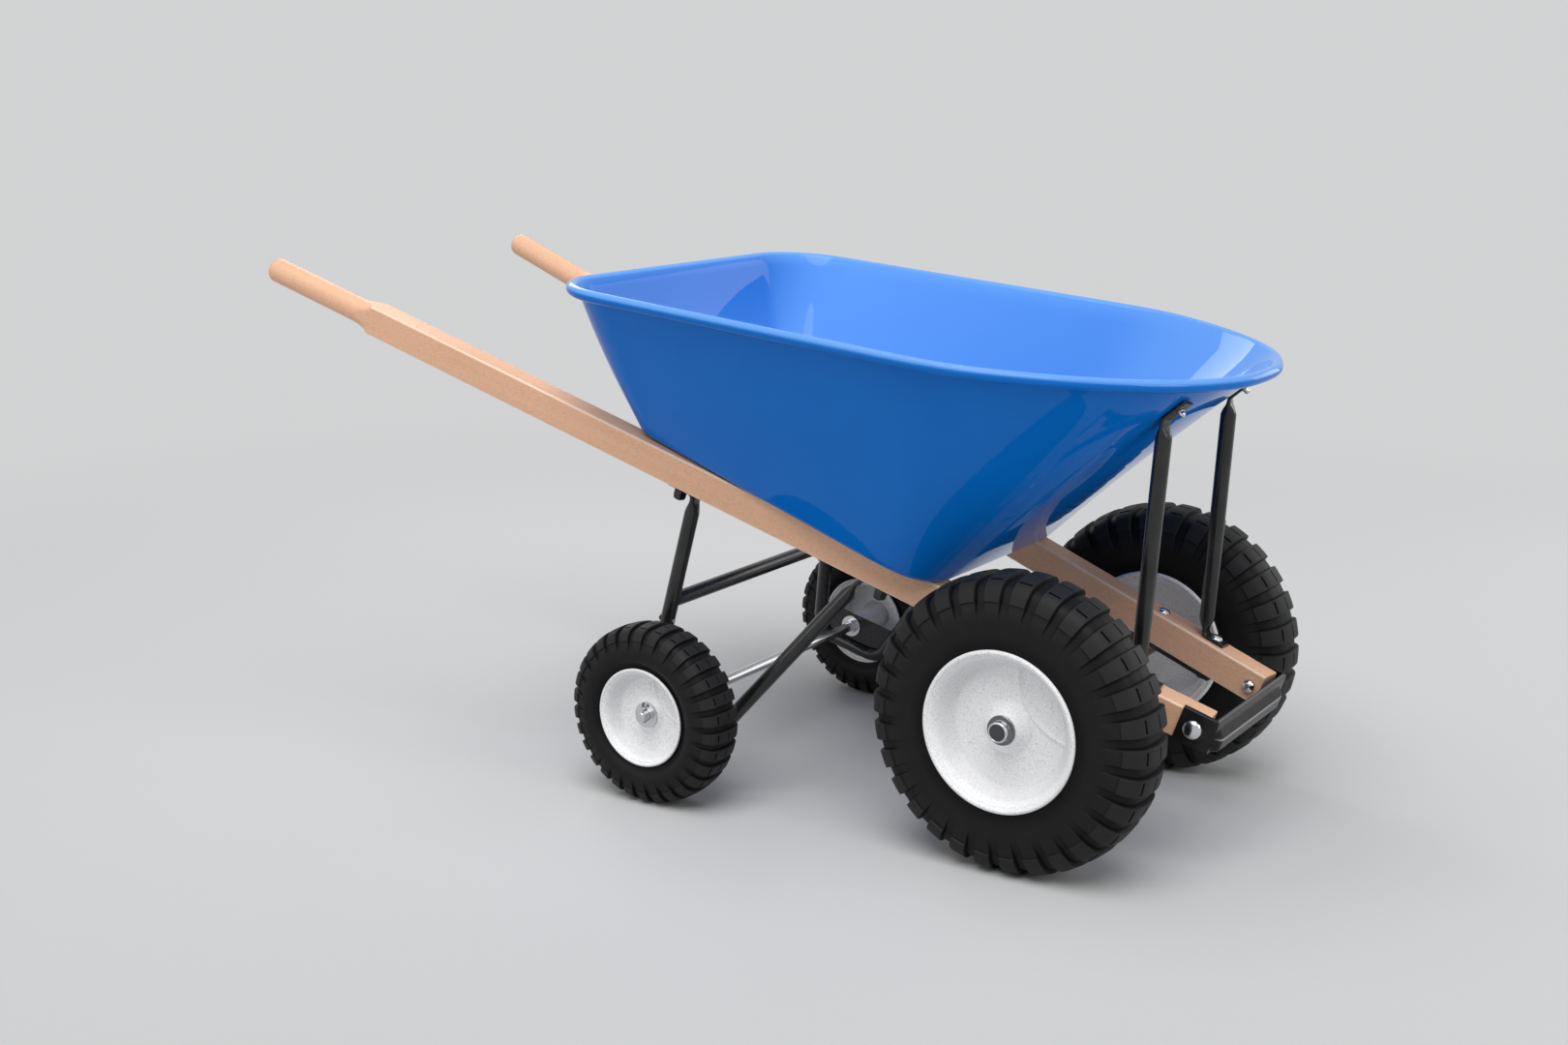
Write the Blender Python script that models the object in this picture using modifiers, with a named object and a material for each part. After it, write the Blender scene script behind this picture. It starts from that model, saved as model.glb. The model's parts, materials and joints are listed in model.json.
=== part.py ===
# Four-wheel wheelbarrow, in metres: +X is forward, +Y is left, +Z is up, the floor is Z = 0.
# It is built with the front axle at X = 0, and moved at the end so that X = 0 is its middle.
import math

import bmesh
import bpy
from mathutils import Matrix, Vector

# Sizes that are set by themselves

# Front wheels
FRONT_TYRE_RADIUS = 0.2025
FRONT_TYRE_WIDTH = 0.106
FRONT_WHEEL_Y = 0.2427
FRONT_FLANGE_RADIUS = 0.1097
FRONT_FLANGE_WIDTH = 0.1126
FRONT_SEAT_RADIUS = 0.1013
FRONT_WELL_RADIUS = 0.0875
FRONT_HUB_OUT = 0.0405
FRONT_HUB_IN = 0.0405

# Rear wheels
REAR_TYRE_RADIUS = 0.1318
REAR_TYRE_WIDTH = 0.079
REAR_WHEEL_Y = 0.305
REAR_FLANGE_RADIUS = 0.0723
REAR_FLANGE_WIDTH = 0.074
REAR_SEAT_RADIUS = 0.0655
REAR_WELL_RADIUS = 0.053
REAR_HUB_OUT = 0.0175
WHEELBASE = 0.5467
FRONT_DISH = 0.0205
REAR_DISH = 0.0085

# The tyre's crown as (share of its depth, share of its half width)
TYRE_CROWN = ((0.0, 0.0), (0.03, 0.50), (0.14, 0.82), (0.40, 1.0))
BEAD_RISE = 0.002

# Hubs and axles
RIM_SHEET = 0.003
BOWL_SHARE = 0.88
SLANT_SHARE = 0.40
HUB_RADIUS = 0.0175
BUSHING_WALL = 0.0042
BUSHING_PROUD = 0.001
AXLE_RADIUS = 0.008
AXLE_CHAMFER = 0.001
REAR_AXLE_STICKOUT = 0.0175

# Handles
HANDLE_HEIGHT = 0.0455
HANDLE_WIDTH = 0.038
HANDLE_CORNER = 0.003
HANDLE_SLOPE = math.radians(19.34)
HANDLE_TOE = math.radians(6.9)
FLOOR_PAST_HANDLE = 0.0809
HANDLE_ABOVE_AXLE = 0.0634
HANDLE_FRONT = 0.2236
HANDLE_BACK = 1.397
GRIP_RADIUS = 0.0192
GRIP_LENGTH = 0.1695
GRIP_NECK = 0.042
GRIP_END_ROUND = 0.014

# Tray
TRAY_SHEET = 0.002
RIM_BEAD_RADIUS = 0.0065
RIM_CURL_END = math.radians(-75)
RIM_BACK = 0.7249
RIM_NOSE = 0.2165
RIM_SHOULDER = -0.073
RIM_BACK_HALF_WIDTH = 0.3213
RIM_FRONT_HALF_WIDTH = 0.3386
RIM_BACK_CORNER = 0.104
RIM_HEIGHT = 0.6655
RIM_FALL = 0.0924
RIM_NOSE_POWER_X = 1.667
RIM_NOSE_POWER_Y = 0.847
FLOOR_BACK = 0.651
FLOOR_FRONT = 0.160
FLOOR_HALF_WIDTH = 0.212
FLOOR_BACK_CORNER = 0.035
FLOOR_FRONT_CORNER = 0.065
FLOOR_FOLD = 0.009

# Rear legs, gussets and brace
LEG_TUBE_RADIUS = 0.011
LEG_SPREAD_Y = 0.235
LEG_BOTTOM_BACK = 0.0645
LEG_BOTTOM_FRONT = 0.0547
LEG_BACK_DROP = 0.0175
LEG_FRONT_DROP = 0.0473
LEG_BENDS = (0.010, 0.034, 0.034, 0.012, 0.010)
LEG_BACK_NECK = 0.025
LEG_FRONT_NECK = 0.028
LEG_FRONT_NECK_LOW = 0.036
LEG_FRONT_NECK_DROP = 0.012
TAB_END = 0.017
LEG_TAB_THICKNESS = 0.007
LEG_TAB_WIDTH = 0.024
GUSSET_SHEET = 0.003
GUSSET_BACK_RISE = 0.036
GUSSET_FRONT_RISE = -0.002
BRACE_RADIUS = 0.011
BRACE_HEIGHT = 0.2715
LEG_BOLT_HEIGHT = 0.243

# Struts
STRUT_TUBE_RADIUS = 0.011
STRUT_TAB_WIDTH = 0.021
STRUT_TOP_Y = 0.111
STRUT_FOOT = 0.1297
STRUT_FOOT_BACK = 0.0175
STRUT_FOOT_FRONT = 0.017
STRUT_SEAT_UP_WALL = 0.876
STRUT_TAB_DOWN = 0.024
STRUT_TAB_UP = 0.015
STRUT_TAB_THICKNESS = 0.005
STRUT_FOOT_BEND = 0.007
STRUT_TOP_BEND = 0.010

# Axle brackets and nose guard
BRACKET_PLATE = 0.005
BRACKET_BACK = 0.036
BRACKET_FRONT = 0.148
BRACKET_WEB_WIDTH = 0.028
BRACKET_WEB_LENGTH = 0.022
BOSS_RADIUS = 0.015
BOSS_PROUD = 0.004
GUARD_SHEET = 0.0025
GUARD_FLAP = 0.050
GUARD_STANDOFF = 0.013
GUARD_RIDGE = 0.009
GUARD_RIDGE_END = 0.012
GUARD_LIP = 0.0032
GUARD_RISE = 0.0012
GUARD_RIDGE_TOP = 0.012
GUARD_RIDGE_PEAK = 0.036
NOSE_BOLT_BACK = 0.016

# Fasteners
TRAY_BOLT_REAR = 0.6046
TRAY_BOLT_FRONT = 0.2647
TRAY_BOLT_INBOARD = 0.0065
TRAY_BOLT_RADIUS = 0.005
TRAY_BOLT_HEAD = 0.0085
TRAY_NUT_ACROSS = 0.018
TRAY_NUT_HEIGHT = 0.018
TRAY_NUT_SHOULDER = 0.011
TRAY_NUT_END = 0.005
BRACKET_BOLT = 0.042
FRAME_BOLT_RADIUS = 0.004
FRAME_BOLT_HEAD = 0.0093
FRAME_NUT_ACROSS = 0.013
FRAME_NUT_HEIGHT = 0.007
NOSE_BOLT_RADIUS = 0.006
NOSE_BOLT_HEAD = 0.0135
NOSE_NUT_RADIUS = 0.0095
LEG_BOLT_RADIUS = 0.003
LEG_BOLT_HEAD = 0.0062
RIVET_RADIUS = 0.003
RIVET_FLANGE = 0.0055
RIVET_FLANGE_THICKNESS = 0.0015
RIVET_HEAD = 0.0044
RIVET_HEIGHT = 0.009
RIVET_TAIL_RISE = 0.003
HEAD_RISE = 0.45
HEAD_EDGE = 0.0005
THREAD_SHOW = 0.003
FRONT_CAP_FLANGE = 0.019
FRONT_CAP_RADIUS = 0.012
FRONT_CAP_LENGTH = 0.0112
FRONT_CAP_ROUND = 0.0055
FRONT_CAP_WALL = 0.003
WASHER_RADIUS = 0.0188
WASHER_THICKNESS = 0.0025
COLLAR_RADIUS = 0.0175
COLLAR_NECK = 0.0115
COLLAR_LENGTH = 0.0105
COTTER_RADIUS = 0.0013
COTTER_LOOP = 0.0045
COTTER_TAIL = 0.009

# Clearances
GAP = 0.0003
STRUT_TAB_GAP = 0.0007
BEAD_GAP = 0.0008
CUT_OVERRUN = 0.002

# Segments around turned and swept pieces
TYRE_STEPS = 40
RIM_STEPS = 24
HUB_STEPS = 20
BOLT_STEPS = 12
TUBE_CORNER_STEPS = 3
HANDLE_CORNER_STEPS = 4
OUTLINE_STEPS = (1, 5, 3, 8, 3)
WALL_ROWS = (0.03, 0.22, 0.6)
BEND_STEPS = 3
FLATTEN_LENGTH = 0.020
FLATTEN_REACHES = (0.25, 0.6, 1.0)
FLATTEN_SHARES = (0.1, 0.6, 1.0)

# Places worked out from the sizes

REAR_AXLE_X = -WHEELBASE
HANDLE_Y_AT_AXLE = FLOOR_HALF_WIDTH - FLOOR_PAST_HANDLE
HANDLE_Z_AT_AXLE = FRONT_TYRE_RADIUS + HANDLE_ABOVE_AXLE
HANDLE_FORWARD = Vector((1.0, 0.0, -math.tan(HANDLE_SLOPE))).normalized()
HANDLE_UP = Vector((math.tan(HANDLE_SLOPE), 0.0, 1.0)).normalized()
BUSHING_RADIUS = AXLE_RADIUS + GAP + BUSHING_WALL
SIDES = (("left", 1), ("right", -1))

COLLECTION_NAME = "four_wheel_wheelbarrow"


# Scene, collections and materials

def clear_scene():
    for old in list(bpy.data.objects):
        bpy.data.objects.remove(old, do_unlink=True)


def new_collection(name):
    collection = bpy.data.collections.new(name)
    bpy.context.scene.collection.children.link(collection)
    return collection


def new_material(name, colour, roughness, metallic):
    material = bpy.data.materials.new(name)
    material.use_nodes = True
    shader = material.node_tree.nodes["Principled BSDF"]
    shader.inputs["Base Color"].default_value = (*colour, 1.0)
    shader.inputs["Roughness"].default_value = roughness
    shader.inputs["Metallic"].default_value = metallic
    material.diffuse_color = (*colour, 1.0)
    return material


clear_scene()
PARTS = new_collection(COLLECTION_NAME)
CUTTERS = new_collection("cutters")

HANDLE_WOOD = ("handle_wood", (0.72, 0.43, 0.27), 0.42, 0.0)
TRAY_BLUE = ("tray_blue_paint", (0.018, 0.13, 0.48), 0.22, 0.0)
BLACK_COAT = ("black_powder_coat", (0.017, 0.018, 0.018), 0.35, 0.0)
RIM_WHITE = ("rim_speckled_coat", (0.52, 0.52, 0.53), 0.45, 0.1)
TYRE_RUBBER = ("tyre_rubber", (0.022, 0.022, 0.023), 0.75, 0.0)
BRIGHT_STEEL = ("bright_zinc_steel", (0.62, 0.62, 0.64), 0.22, 1.0)
DARK_NUT = ("dark_nut_steel", (0.05, 0.05, 0.052), 0.4, 0.8)
BUSHING_NYLON = ("bushing_nylon", (0.08, 0.08, 0.085), 0.5, 0.0)


# Objects and modifiers

def link(name, mesh, finish, collection=PARTS):
    obj = bpy.data.objects.new(name, mesh)
    collection.objects.link(obj)
    if finish:
        mesh.materials.clear()
        mesh.materials.append(new_material(name + "_" + finish[0], *finish[1:]))
    return obj


def mesh_of(name, points, edges, faces):
    mesh = bpy.data.meshes.new(name)
    mesh.from_pydata([tuple(p) for p in points], edges, faces)
    mesh.update()
    return mesh


def face_outward(mesh):
    work = bmesh.new()
    work.from_mesh(mesh)
    bmesh.ops.recalc_face_normals(work, faces=work.faces)
    work.to_mesh(mesh)
    work.free()


def split_quads(mesh):
    """Each quad is split along its shorter diagonal, so that left and right pieces match."""
    work = bmesh.new()
    work.from_mesh(mesh)
    quads = [face for face in work.faces if len(face.verts) == 4]
    bmesh.ops.triangulate(work, faces=quads, quad_method="SHORT_EDGE")
    work.to_mesh(mesh)
    work.free()


def turned(name, finish, profile, steps, place, closed=False):
    """A profile of (radius, height) pairs, turned about the place matrix's Z axis."""
    points = [(radius, 0.0, height) for radius, height in profile]
    edges = [(i, i + 1) for i in range(len(points) - 1)]
    if closed:
        edges.append((len(points) - 1, 0))
    obj = link(name, mesh_of(name, points, edges, []), finish)
    screw = obj.modifiers.new("turn", "SCREW")
    screw.axis = "Z"
    screw.angle = math.tau
    screw.steps = steps
    screw.render_steps = steps
    screw.use_merge_vertices = True
    screw.merge_threshold = 0.00005
    screw.use_smooth_shade = True
    obj.matrix_world = place
    return obj


def cylinder_mesh(name, radius, length, steps):
    """A capped cylinder about Z, from Z = 0 up to its length."""
    mesh = bpy.data.meshes.new(name)
    work = bmesh.new()
    lift = Matrix.Translation((0, 0, length / 2))
    bmesh.ops.create_cone(work, cap_ends=True, segments=steps, radius1=radius,
                          radius2=radius, depth=length, matrix=lift)
    work.to_mesh(mesh)
    work.free()
    return mesh


def box_mesh(name, low, high):
    mesh = bpy.data.meshes.new(name)
    work = bmesh.new()
    size = [b - a for a, b in zip(low, high)]
    middle = [(a + b) / 2 for a, b in zip(low, high)]
    place = Matrix.Translation(middle) @ Matrix.Diagonal((*size, 1.0))
    bmesh.ops.create_cube(work, size=1.0, matrix=place)
    work.to_mesh(mesh)
    work.free()
    return mesh


def cutter(name, mesh, place):
    obj = link(name, mesh, None, CUTTERS)
    obj.matrix_world = place
    obj.hide_render = True
    obj.display_type = "WIRE"
    return obj


def boolean(obj, other, operation):
    step = obj.modifiers.new(other.name, "BOOLEAN")
    step.operation = operation
    step.solver = "EXACT"
    step.object = other


def drill(obj, name, radius, length, place, steps=BOLT_STEPS):
    """A round hole along the place matrix's Z axis, from its origin, a little past both ends."""
    back = place @ Matrix.Translation((0, 0, -CUT_OVERRUN))
    tool = cutter(name, cylinder_mesh(name, radius, length + 2 * CUT_OVERRUN, steps), back)
    boolean(obj, tool, "DIFFERENCE")


def axes_at(origin, along, sideways):
    """A matrix at origin whose Z axis runs along and whose X axis is near sideways."""
    z_axis = Vector(along).normalized()
    y_axis = z_axis.cross(Vector(sideways)).normalized()
    x_axis = y_axis.cross(z_axis)
    turn = Matrix((x_axis, y_axis, z_axis)).transposed().to_4x4()
    return Matrix.Translation(origin) @ turn


def across(x, y, z, side):
    """A place on an axle: Z points away from the middle of the barrow."""
    return axes_at((x, side * y, z), (0, side, 0), (0, 0, 1))


# Sections swept along a path, for pieces that change from round to flat

def rounded_section(half_width, half_height, corner, steps):
    corner = min(corner, half_width, half_height)
    points = []
    for quarter, (sx, sy) in enumerate(((1, 1), (-1, 1), (-1, -1), (1, -1))):
        for i in range(steps + 1):
            angle = math.pi / 2 * (quarter + i / steps)
            x = sx * (half_width - corner) + corner * math.cos(angle)
            y = sy * (half_height - corner) + corner * math.sin(angle)
            points.append((x, y))
    return points


def swept(name, finish, stations, steps, collection=PARTS):
    """A closed solid through stations of (centre, sideways, thick, width half, thick half, corner)."""
    points = []
    for centre, sideways, thick, half_width, half_thick, corner in stations:
        for x, y in rounded_section(half_width, half_thick, corner, steps):
            points.append(Vector(centre) + Vector(sideways) * x + Vector(thick) * y)
    ring = 4 * (steps + 1)
    faces = [tuple(range(ring)), tuple(range(len(points) - ring, len(points)))]
    for row in range(len(stations) - 1):
        for i in range(ring):
            j = (i + 1) % ring
            a = row * ring
            faces.append((a + i, a + j, a + ring + j, a + ring + i))
    mesh = mesh_of(name, points, [], faces)
    weld = bmesh.new()
    weld.from_mesh(mesh)
    bmesh.ops.remove_doubles(weld, verts=weld.verts, dist=0.000001)
    bmesh.ops.recalc_face_normals(weld, faces=weld.faces)
    weld.to_mesh(mesh)
    weld.free()
    split_quads(mesh)
    return link(name, mesh, finish, collection)


def filleted(corners, radii, steps):
    """A path through the corners, with an arc-like bend of its own radius at each inner corner."""
    path = [Vector(corners[0])]
    for before, corner, after, radius in zip(corners, corners[1:], corners[2:], radii):
        corner = Vector(corner)
        inward = (Vector(before) - corner).normalized()
        outward = (Vector(after) - corner).normalized()
        turn = inward.angle(outward)
        reach = radius / math.tan(turn / 2)
        start = corner + inward * reach
        end = corner + outward * reach
        centre = corner + (inward + outward).normalized() * (radius / math.sin(turn / 2))
        first = start - centre
        last = end - centre
        sweep = first.angle(last)
        for i in range(steps + 1):
            ahead = math.sin(sweep * i / steps) / math.sin(sweep)
            behind = math.sin(sweep * (1 - i / steps)) / math.sin(sweep)
            path.append(centre + first * behind + last * ahead)
    path.append(Vector(corners[-1]))
    return path


def path_frames(path, sideways):
    """Unit (sideways, thick) vectors square to the path at each of its points."""
    frames = []
    for i, point in enumerate(path):
        before = path[max(i - 1, 0)]
        after = path[min(i + 1, len(path) - 1)]
        into = (point - before).normalized() if i else (after - point).normalized()
        out = (after - point).normalized() if i < len(path) - 1 else into
        along = (into + out).normalized()
        side = Vector(sideways) - along * along.dot(Vector(sideways))
        side.normalize()
        frames.append((side, along.cross(side)))
    return frames


# Where the handles, tray and struts lie

def handle_place(side):
    """The handle's own frame: X along it, Y to the left, Z up square to its top, at the front axle."""
    run = Vector((math.cos(HANDLE_SLOPE) * math.cos(HANDLE_TOE), 0, 0))
    run.y = -side * math.cos(HANDLE_SLOPE) * math.sin(HANDLE_TOE)
    run.z = -math.sin(HANDLE_SLOPE) * math.cos(HANDLE_TOE)
    run.normalize()
    left = HANDLE_UP.cross(run).normalized()
    turn = Matrix((run, left, HANDLE_UP)).transposed().to_4x4()
    at = Vector((0, side * HANDLE_Y_AT_AXLE, HANDLE_Z_AT_AXLE))
    return Matrix.Translation(at) @ turn


def on_handle(side, along, left, up):
    return handle_place(side) @ Vector((along, left, up))


def along_handle_at(x):
    """How far along a handle a given X lies."""
    return x / handle_place(1).col[0][0]


def floor_height(x):
    """The height of the tray floor's outer face, which lies on both handles."""
    lift = (HANDLE_HEIGHT / 2 + GAP) / math.cos(HANDLE_SLOPE)
    return HANDLE_Z_AT_AXLE + lift - x * math.tan(HANDLE_SLOPE)


def rim_point(x, y):
    return Vector((x, y, RIM_HEIGHT - RIM_FALL * x))


def floor_point(x, y):
    return Vector((x, y, floor_height(x)))


# The tray's rim and floor outlines share one parameter, 0 at the back and 5 at the nose

def blend(a, b, t):
    return (a[0] + (b[0] - a[0]) * t, a[1] + (b[1] - a[1]) * t)


def arc(centre, radius, start, end, t):
    angle = math.radians(start + (end - start) * t)
    return (centre[0] + radius * math.cos(angle), centre[1] + radius * math.sin(angle))


def rim_outline(u):
    part = min(int(u), 4)
    t = u - part
    back_y = RIM_BACK_HALF_WIDTH - RIM_BACK_CORNER
    if part == 0:
        return blend((-RIM_BACK, 0.0), (-RIM_BACK, back_y), t)
    if part == 1:
        return arc((-RIM_BACK + RIM_BACK_CORNER, back_y), RIM_BACK_CORNER, 180, 90, t)
    if part == 2:
        start = (-RIM_BACK + RIM_BACK_CORNER, RIM_BACK_HALF_WIDTH)
        return blend(start, (RIM_SHOULDER, RIM_FRONT_HALF_WIDTH), t)
    swing = math.radians(70 * t if part == 3 else 70 + 20 * t)
    x = RIM_SHOULDER + (RIM_NOSE - RIM_SHOULDER) * math.sin(swing) ** RIM_NOSE_POWER_X
    y = RIM_FRONT_HALF_WIDTH * max(math.cos(swing), 0.0) ** RIM_NOSE_POWER_Y
    return (x, y)


def floor_outline(u):
    part = min(int(u), 4)
    t = u - part
    back_y = FLOOR_HALF_WIDTH - FLOOR_BACK_CORNER
    front_y = FLOOR_HALF_WIDTH - FLOOR_FRONT_CORNER
    back_x = -FLOOR_BACK + FLOOR_BACK_CORNER
    front_x = -FLOOR_FRONT - FLOOR_FRONT_CORNER
    if part == 0:
        return blend((-FLOOR_BACK, 0.0), (-FLOOR_BACK, back_y), t)
    if part == 1:
        return arc((back_x, back_y), FLOOR_BACK_CORNER, 180, 90, t)
    if part == 2:
        return blend((back_x, FLOOR_HALF_WIDTH), (front_x, FLOOR_HALF_WIDTH), t)
    if part == 3:
        return arc((front_x, front_y), FLOOR_FRONT_CORNER, 90, 0, t)
    return blend((-FLOOR_FRONT, front_y), (-FLOOR_FRONT, 0.0), t)


def outline_normal(outline, u):
    step = 0.01
    if u in (0, 5):
        return Vector((-1.0 if u == 0 else 1.0, 0, 0))
    a = outline(u - step)
    b = outline(u + step)
    return Vector((a[1] - b[1], b[0] - a[0], 0)).normalized()


def wall_ends(u):
    """The rim bead's centre, the way out from it, the floor's sharp corner and the way in from it."""
    bead = rim_point(*rim_outline(u))
    out = outline_normal(rim_outline, u)
    corner = floor_point(*floor_outline(u))
    inward = -outline_normal(floor_outline, u)
    inward.z = -inward.x * math.tan(HANDLE_SLOPE)
    return bead, out, corner, inward.normalized()


def bead_start(bead, out, corner):
    """The angle round the bead at which the wall runs into it."""
    rise = bead - corner
    return math.pi - math.atan2(rise.dot(out), rise.z)


def on_bead(bead, out, angle):
    up = Vector((0, 0, 1))
    return bead + (out * math.cos(angle) + up * math.sin(angle)) * RIM_BEAD_RADIUS


def wall_top(u):
    bead, out, corner, _ = wall_ends(u)
    return on_bead(bead, out, bead_start(bead, out, corner))


def wall_point(u, v):
    """A point on the wall's outer face: v is 0 at the floor's corner and 1 at the bead."""
    corner = wall_ends(u)[2]
    return corner.lerp(wall_top(u), v)


def tray_columns():
    """Values of the outline parameter round half of the tray, closer together on its bends."""
    values = [0.0]
    for part, count in enumerate(OUTLINE_STEPS):
        values += [part + (i + 1) / count for i in range(count)]
    return values


def wall_seat(y, v):
    """Where the front wall stands at a given y: the point, its outward normal and the way up."""
    front = [u for u in tray_columns() if u >= 3]
    a, b = front[:2]
    for a, b in zip(front, front[1:]):
        if wall_point(b, v).y <= y:
            break
    start = wall_point(a, v)
    end = wall_point(b, v)
    t = (y - start.y) / (end.y - start.y)
    up = (wall_point(a, 1) - wall_point(a, 0)).lerp(wall_point(b, 1) - wall_point(b, 0), t)
    up.normalize()
    normal = up.cross(end - start).normalized()
    if normal.x < 0:
        normal.negate()
    return start.lerp(end, t), normal, up


# Wheels

def tyre_profile(outer, half_width, seat, flange, half_bead):
    """The tyre's section from its tread out to its sidewall and in to its bead."""
    depth = outer - seat
    profile = [(outer - fall * depth, width * half_width) for fall, width in TYRE_CROWN]
    profile += [(flange + BEAD_RISE, half_bead), (seat + GAP, half_bead)]
    return profile


def wheel(end, word, side, x, tyre_radius, tyre_width, wheel_y, flange_radius, flange_width,
          seat_radius, well_radius, dish, hub_in, hub_out):
    """A tyre, rim and bushing under one empty on the wheel's axis."""
    name = end + "_%s_" + word
    hinge = bpy.data.objects.new(name % "wheel_axis", None)
    PARTS.objects.link(hinge)
    hinge.matrix_world = across(x, wheel_y, tyre_radius, side)

    half_flange = flange_width / 2
    half_bead = half_flange - RIM_SHEET - BEAD_GAP
    upper = tyre_profile(tyre_radius, tyre_width / 2, seat_radius, flange_radius, half_bead)
    lower = [(radius, -height) for radius, height in upper[1:]]
    tyre = turned(name % "tyre", TYRE_RUBBER, upper[::-1] + lower, TYRE_STEPS, Matrix(), closed=True)

    bore = BUSHING_RADIUS + GAP
    inside_seat = seat_radius - RIM_SHEET
    inside_well = well_radius - RIM_SHEET
    slant = half_flange * SLANT_SHARE
    web = RIM_SHEET / 2
    outer_face = [
        (flange_radius, half_flange),
        (flange_radius, half_flange - RIM_SHEET),
        (seat_radius, half_flange - RIM_SHEET),
        (seat_radius, slant),
        (well_radius, slant * 0.5),
    ]
    inner_face = [
        (inside_well, -slant * 0.5),
        (inside_seat, -slant),
        (inside_seat, -half_flange),
    ]
    tyre_side = outer_face + [(radius, -height) for radius, height in reversed(outer_face)]
    cone_top = hub_out - RIM_SHEET
    bowl = well_radius * BOWL_SHARE
    hub_side = inner_face[::-1] + [
        (inside_well, 0),
        (bowl, dish - web),
        (HUB_RADIUS, cone_top - web),
        (HUB_RADIUS, -hub_in),
        (bore, -hub_in),
        (bore, hub_out),
        (HUB_RADIUS, hub_out),
        (HUB_RADIUS, cone_top + web),
        (bowl, dish + web),
    ] + [(radius, -height) for radius, height in inner_face[1:]]
    rim = turned(name % "rim", RIM_WHITE, tyre_side + hub_side, RIM_STEPS, Matrix(), closed=True)

    low = -hub_in - BUSHING_PROUD
    high = hub_out + BUSHING_PROUD
    ring = [(BUSHING_RADIUS, high), (BUSHING_RADIUS, low), (AXLE_RADIUS + GAP, low),
            (AXLE_RADIUS + GAP, high)]
    bushing = turned(name % "bushing", BUSHING_NYLON, ring, HUB_STEPS, Matrix(), closed=True)
    for obj in (tyre, rim, bushing):
        obj.parent = hinge
        obj.matrix_parent_inverse = Matrix()


def rear_hub_in():
    """The rear hub reaches in to its gusset, with a running gap."""
    return REAR_WHEEL_Y - (LEG_SPREAD_Y + GUSSET_SHEET / 2 + GAP + BUSHING_PROUD)


def build_wheels():
    for word, side in SIDES:
        wheel("front", word, side, 0.0, FRONT_TYRE_RADIUS, FRONT_TYRE_WIDTH,
              FRONT_WHEEL_Y, FRONT_FLANGE_RADIUS, FRONT_FLANGE_WIDTH, FRONT_SEAT_RADIUS,
              FRONT_WELL_RADIUS, FRONT_DISH, FRONT_HUB_IN, FRONT_HUB_OUT)
        wheel("rear", word, side, REAR_AXLE_X, REAR_TYRE_RADIUS, REAR_TYRE_WIDTH,
              REAR_WHEEL_Y, REAR_FLANGE_RADIUS, REAR_FLANGE_WIDTH, REAR_SEAT_RADIUS,
              REAR_WELL_RADIUS, REAR_DISH, rear_hub_in(), REAR_HUB_OUT)


# Axles and what holds the wheels on them

def axle_rod(name, x, z, half_length):
    inner = AXLE_RADIUS - AXLE_CHAMFER
    profile = [(0, half_length), (inner, half_length), (AXLE_RADIUS, half_length - AXLE_CHAMFER),
               (AXLE_RADIUS, AXLE_CHAMFER - half_length), (inner, -half_length), (0, -half_length)]
    return turned(name, BRIGHT_STEEL, profile, HUB_STEPS, across(x, 0, z, 1))


def ring(name, finish, x, z, side, y, outer, thickness):
    bore = AXLE_RADIUS + GAP
    profile = [(outer, thickness), (outer, 0), (bore, 0), (bore, thickness)]
    return turned(name, finish, profile, HUB_STEPS, across(x, y, z, side), closed=True)


def front_cap(word, side):
    """A cap pushed over the axle's end, with a flange that keeps the bushing in."""
    y = FRONT_WHEEL_Y + FRONT_HUB_OUT + BUSHING_PROUD + GAP
    inside = FRONT_CAP_LENGTH - FRONT_CAP_WALL
    bore = AXLE_RADIUS + GAP
    shoulder = FRONT_CAP_LENGTH - FRONT_CAP_ROUND
    profile = [(radius, shoulder + h) for radius, h in dome(FRONT_CAP_RADIUS, FRONT_CAP_ROUND, 3)]
    profile += [
        (FRONT_CAP_RADIUS, WASHER_THICKNESS),
        (FRONT_CAP_FLANGE, WASHER_THICKNESS),
        (FRONT_CAP_FLANGE, 0),
        (bore, 0),
        (bore, inside),
        (0, inside),
    ]
    place = across(0, y, FRONT_TYRE_RADIUS, side)
    turned("front_axle_cap_" + word, BRIGHT_STEEL, profile, HUB_STEPS, place)
    return y + inside - GAP


def rear_collar(word, side):
    y = LEG_SPREAD_Y - GUSSET_SHEET / 2 - GAP
    bore = AXLE_RADIUS + GAP
    profile = [
        (COLLAR_RADIUS, 0),
        (COLLAR_RADIUS, -WASHER_THICKNESS),
        (COLLAR_NECK, -WASHER_THICKNESS),
        (COLLAR_NECK, -COLLAR_LENGTH),
        (bore, -COLLAR_LENGTH),
        (bore, 0),
    ]
    place = across(REAR_AXLE_X, y, REAR_TYRE_RADIUS, side)
    turned("rear_axle_collar_" + word, BRIGHT_STEEL, profile, HUB_STEPS, place, closed=True)


def rear_washer_y():
    return REAR_WHEEL_Y + REAR_HUB_OUT + BUSHING_PROUD + GAP


def cotter_y():
    return rear_washer_y() + WASHER_THICKNESS + GAP + COTTER_RADIUS


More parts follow.
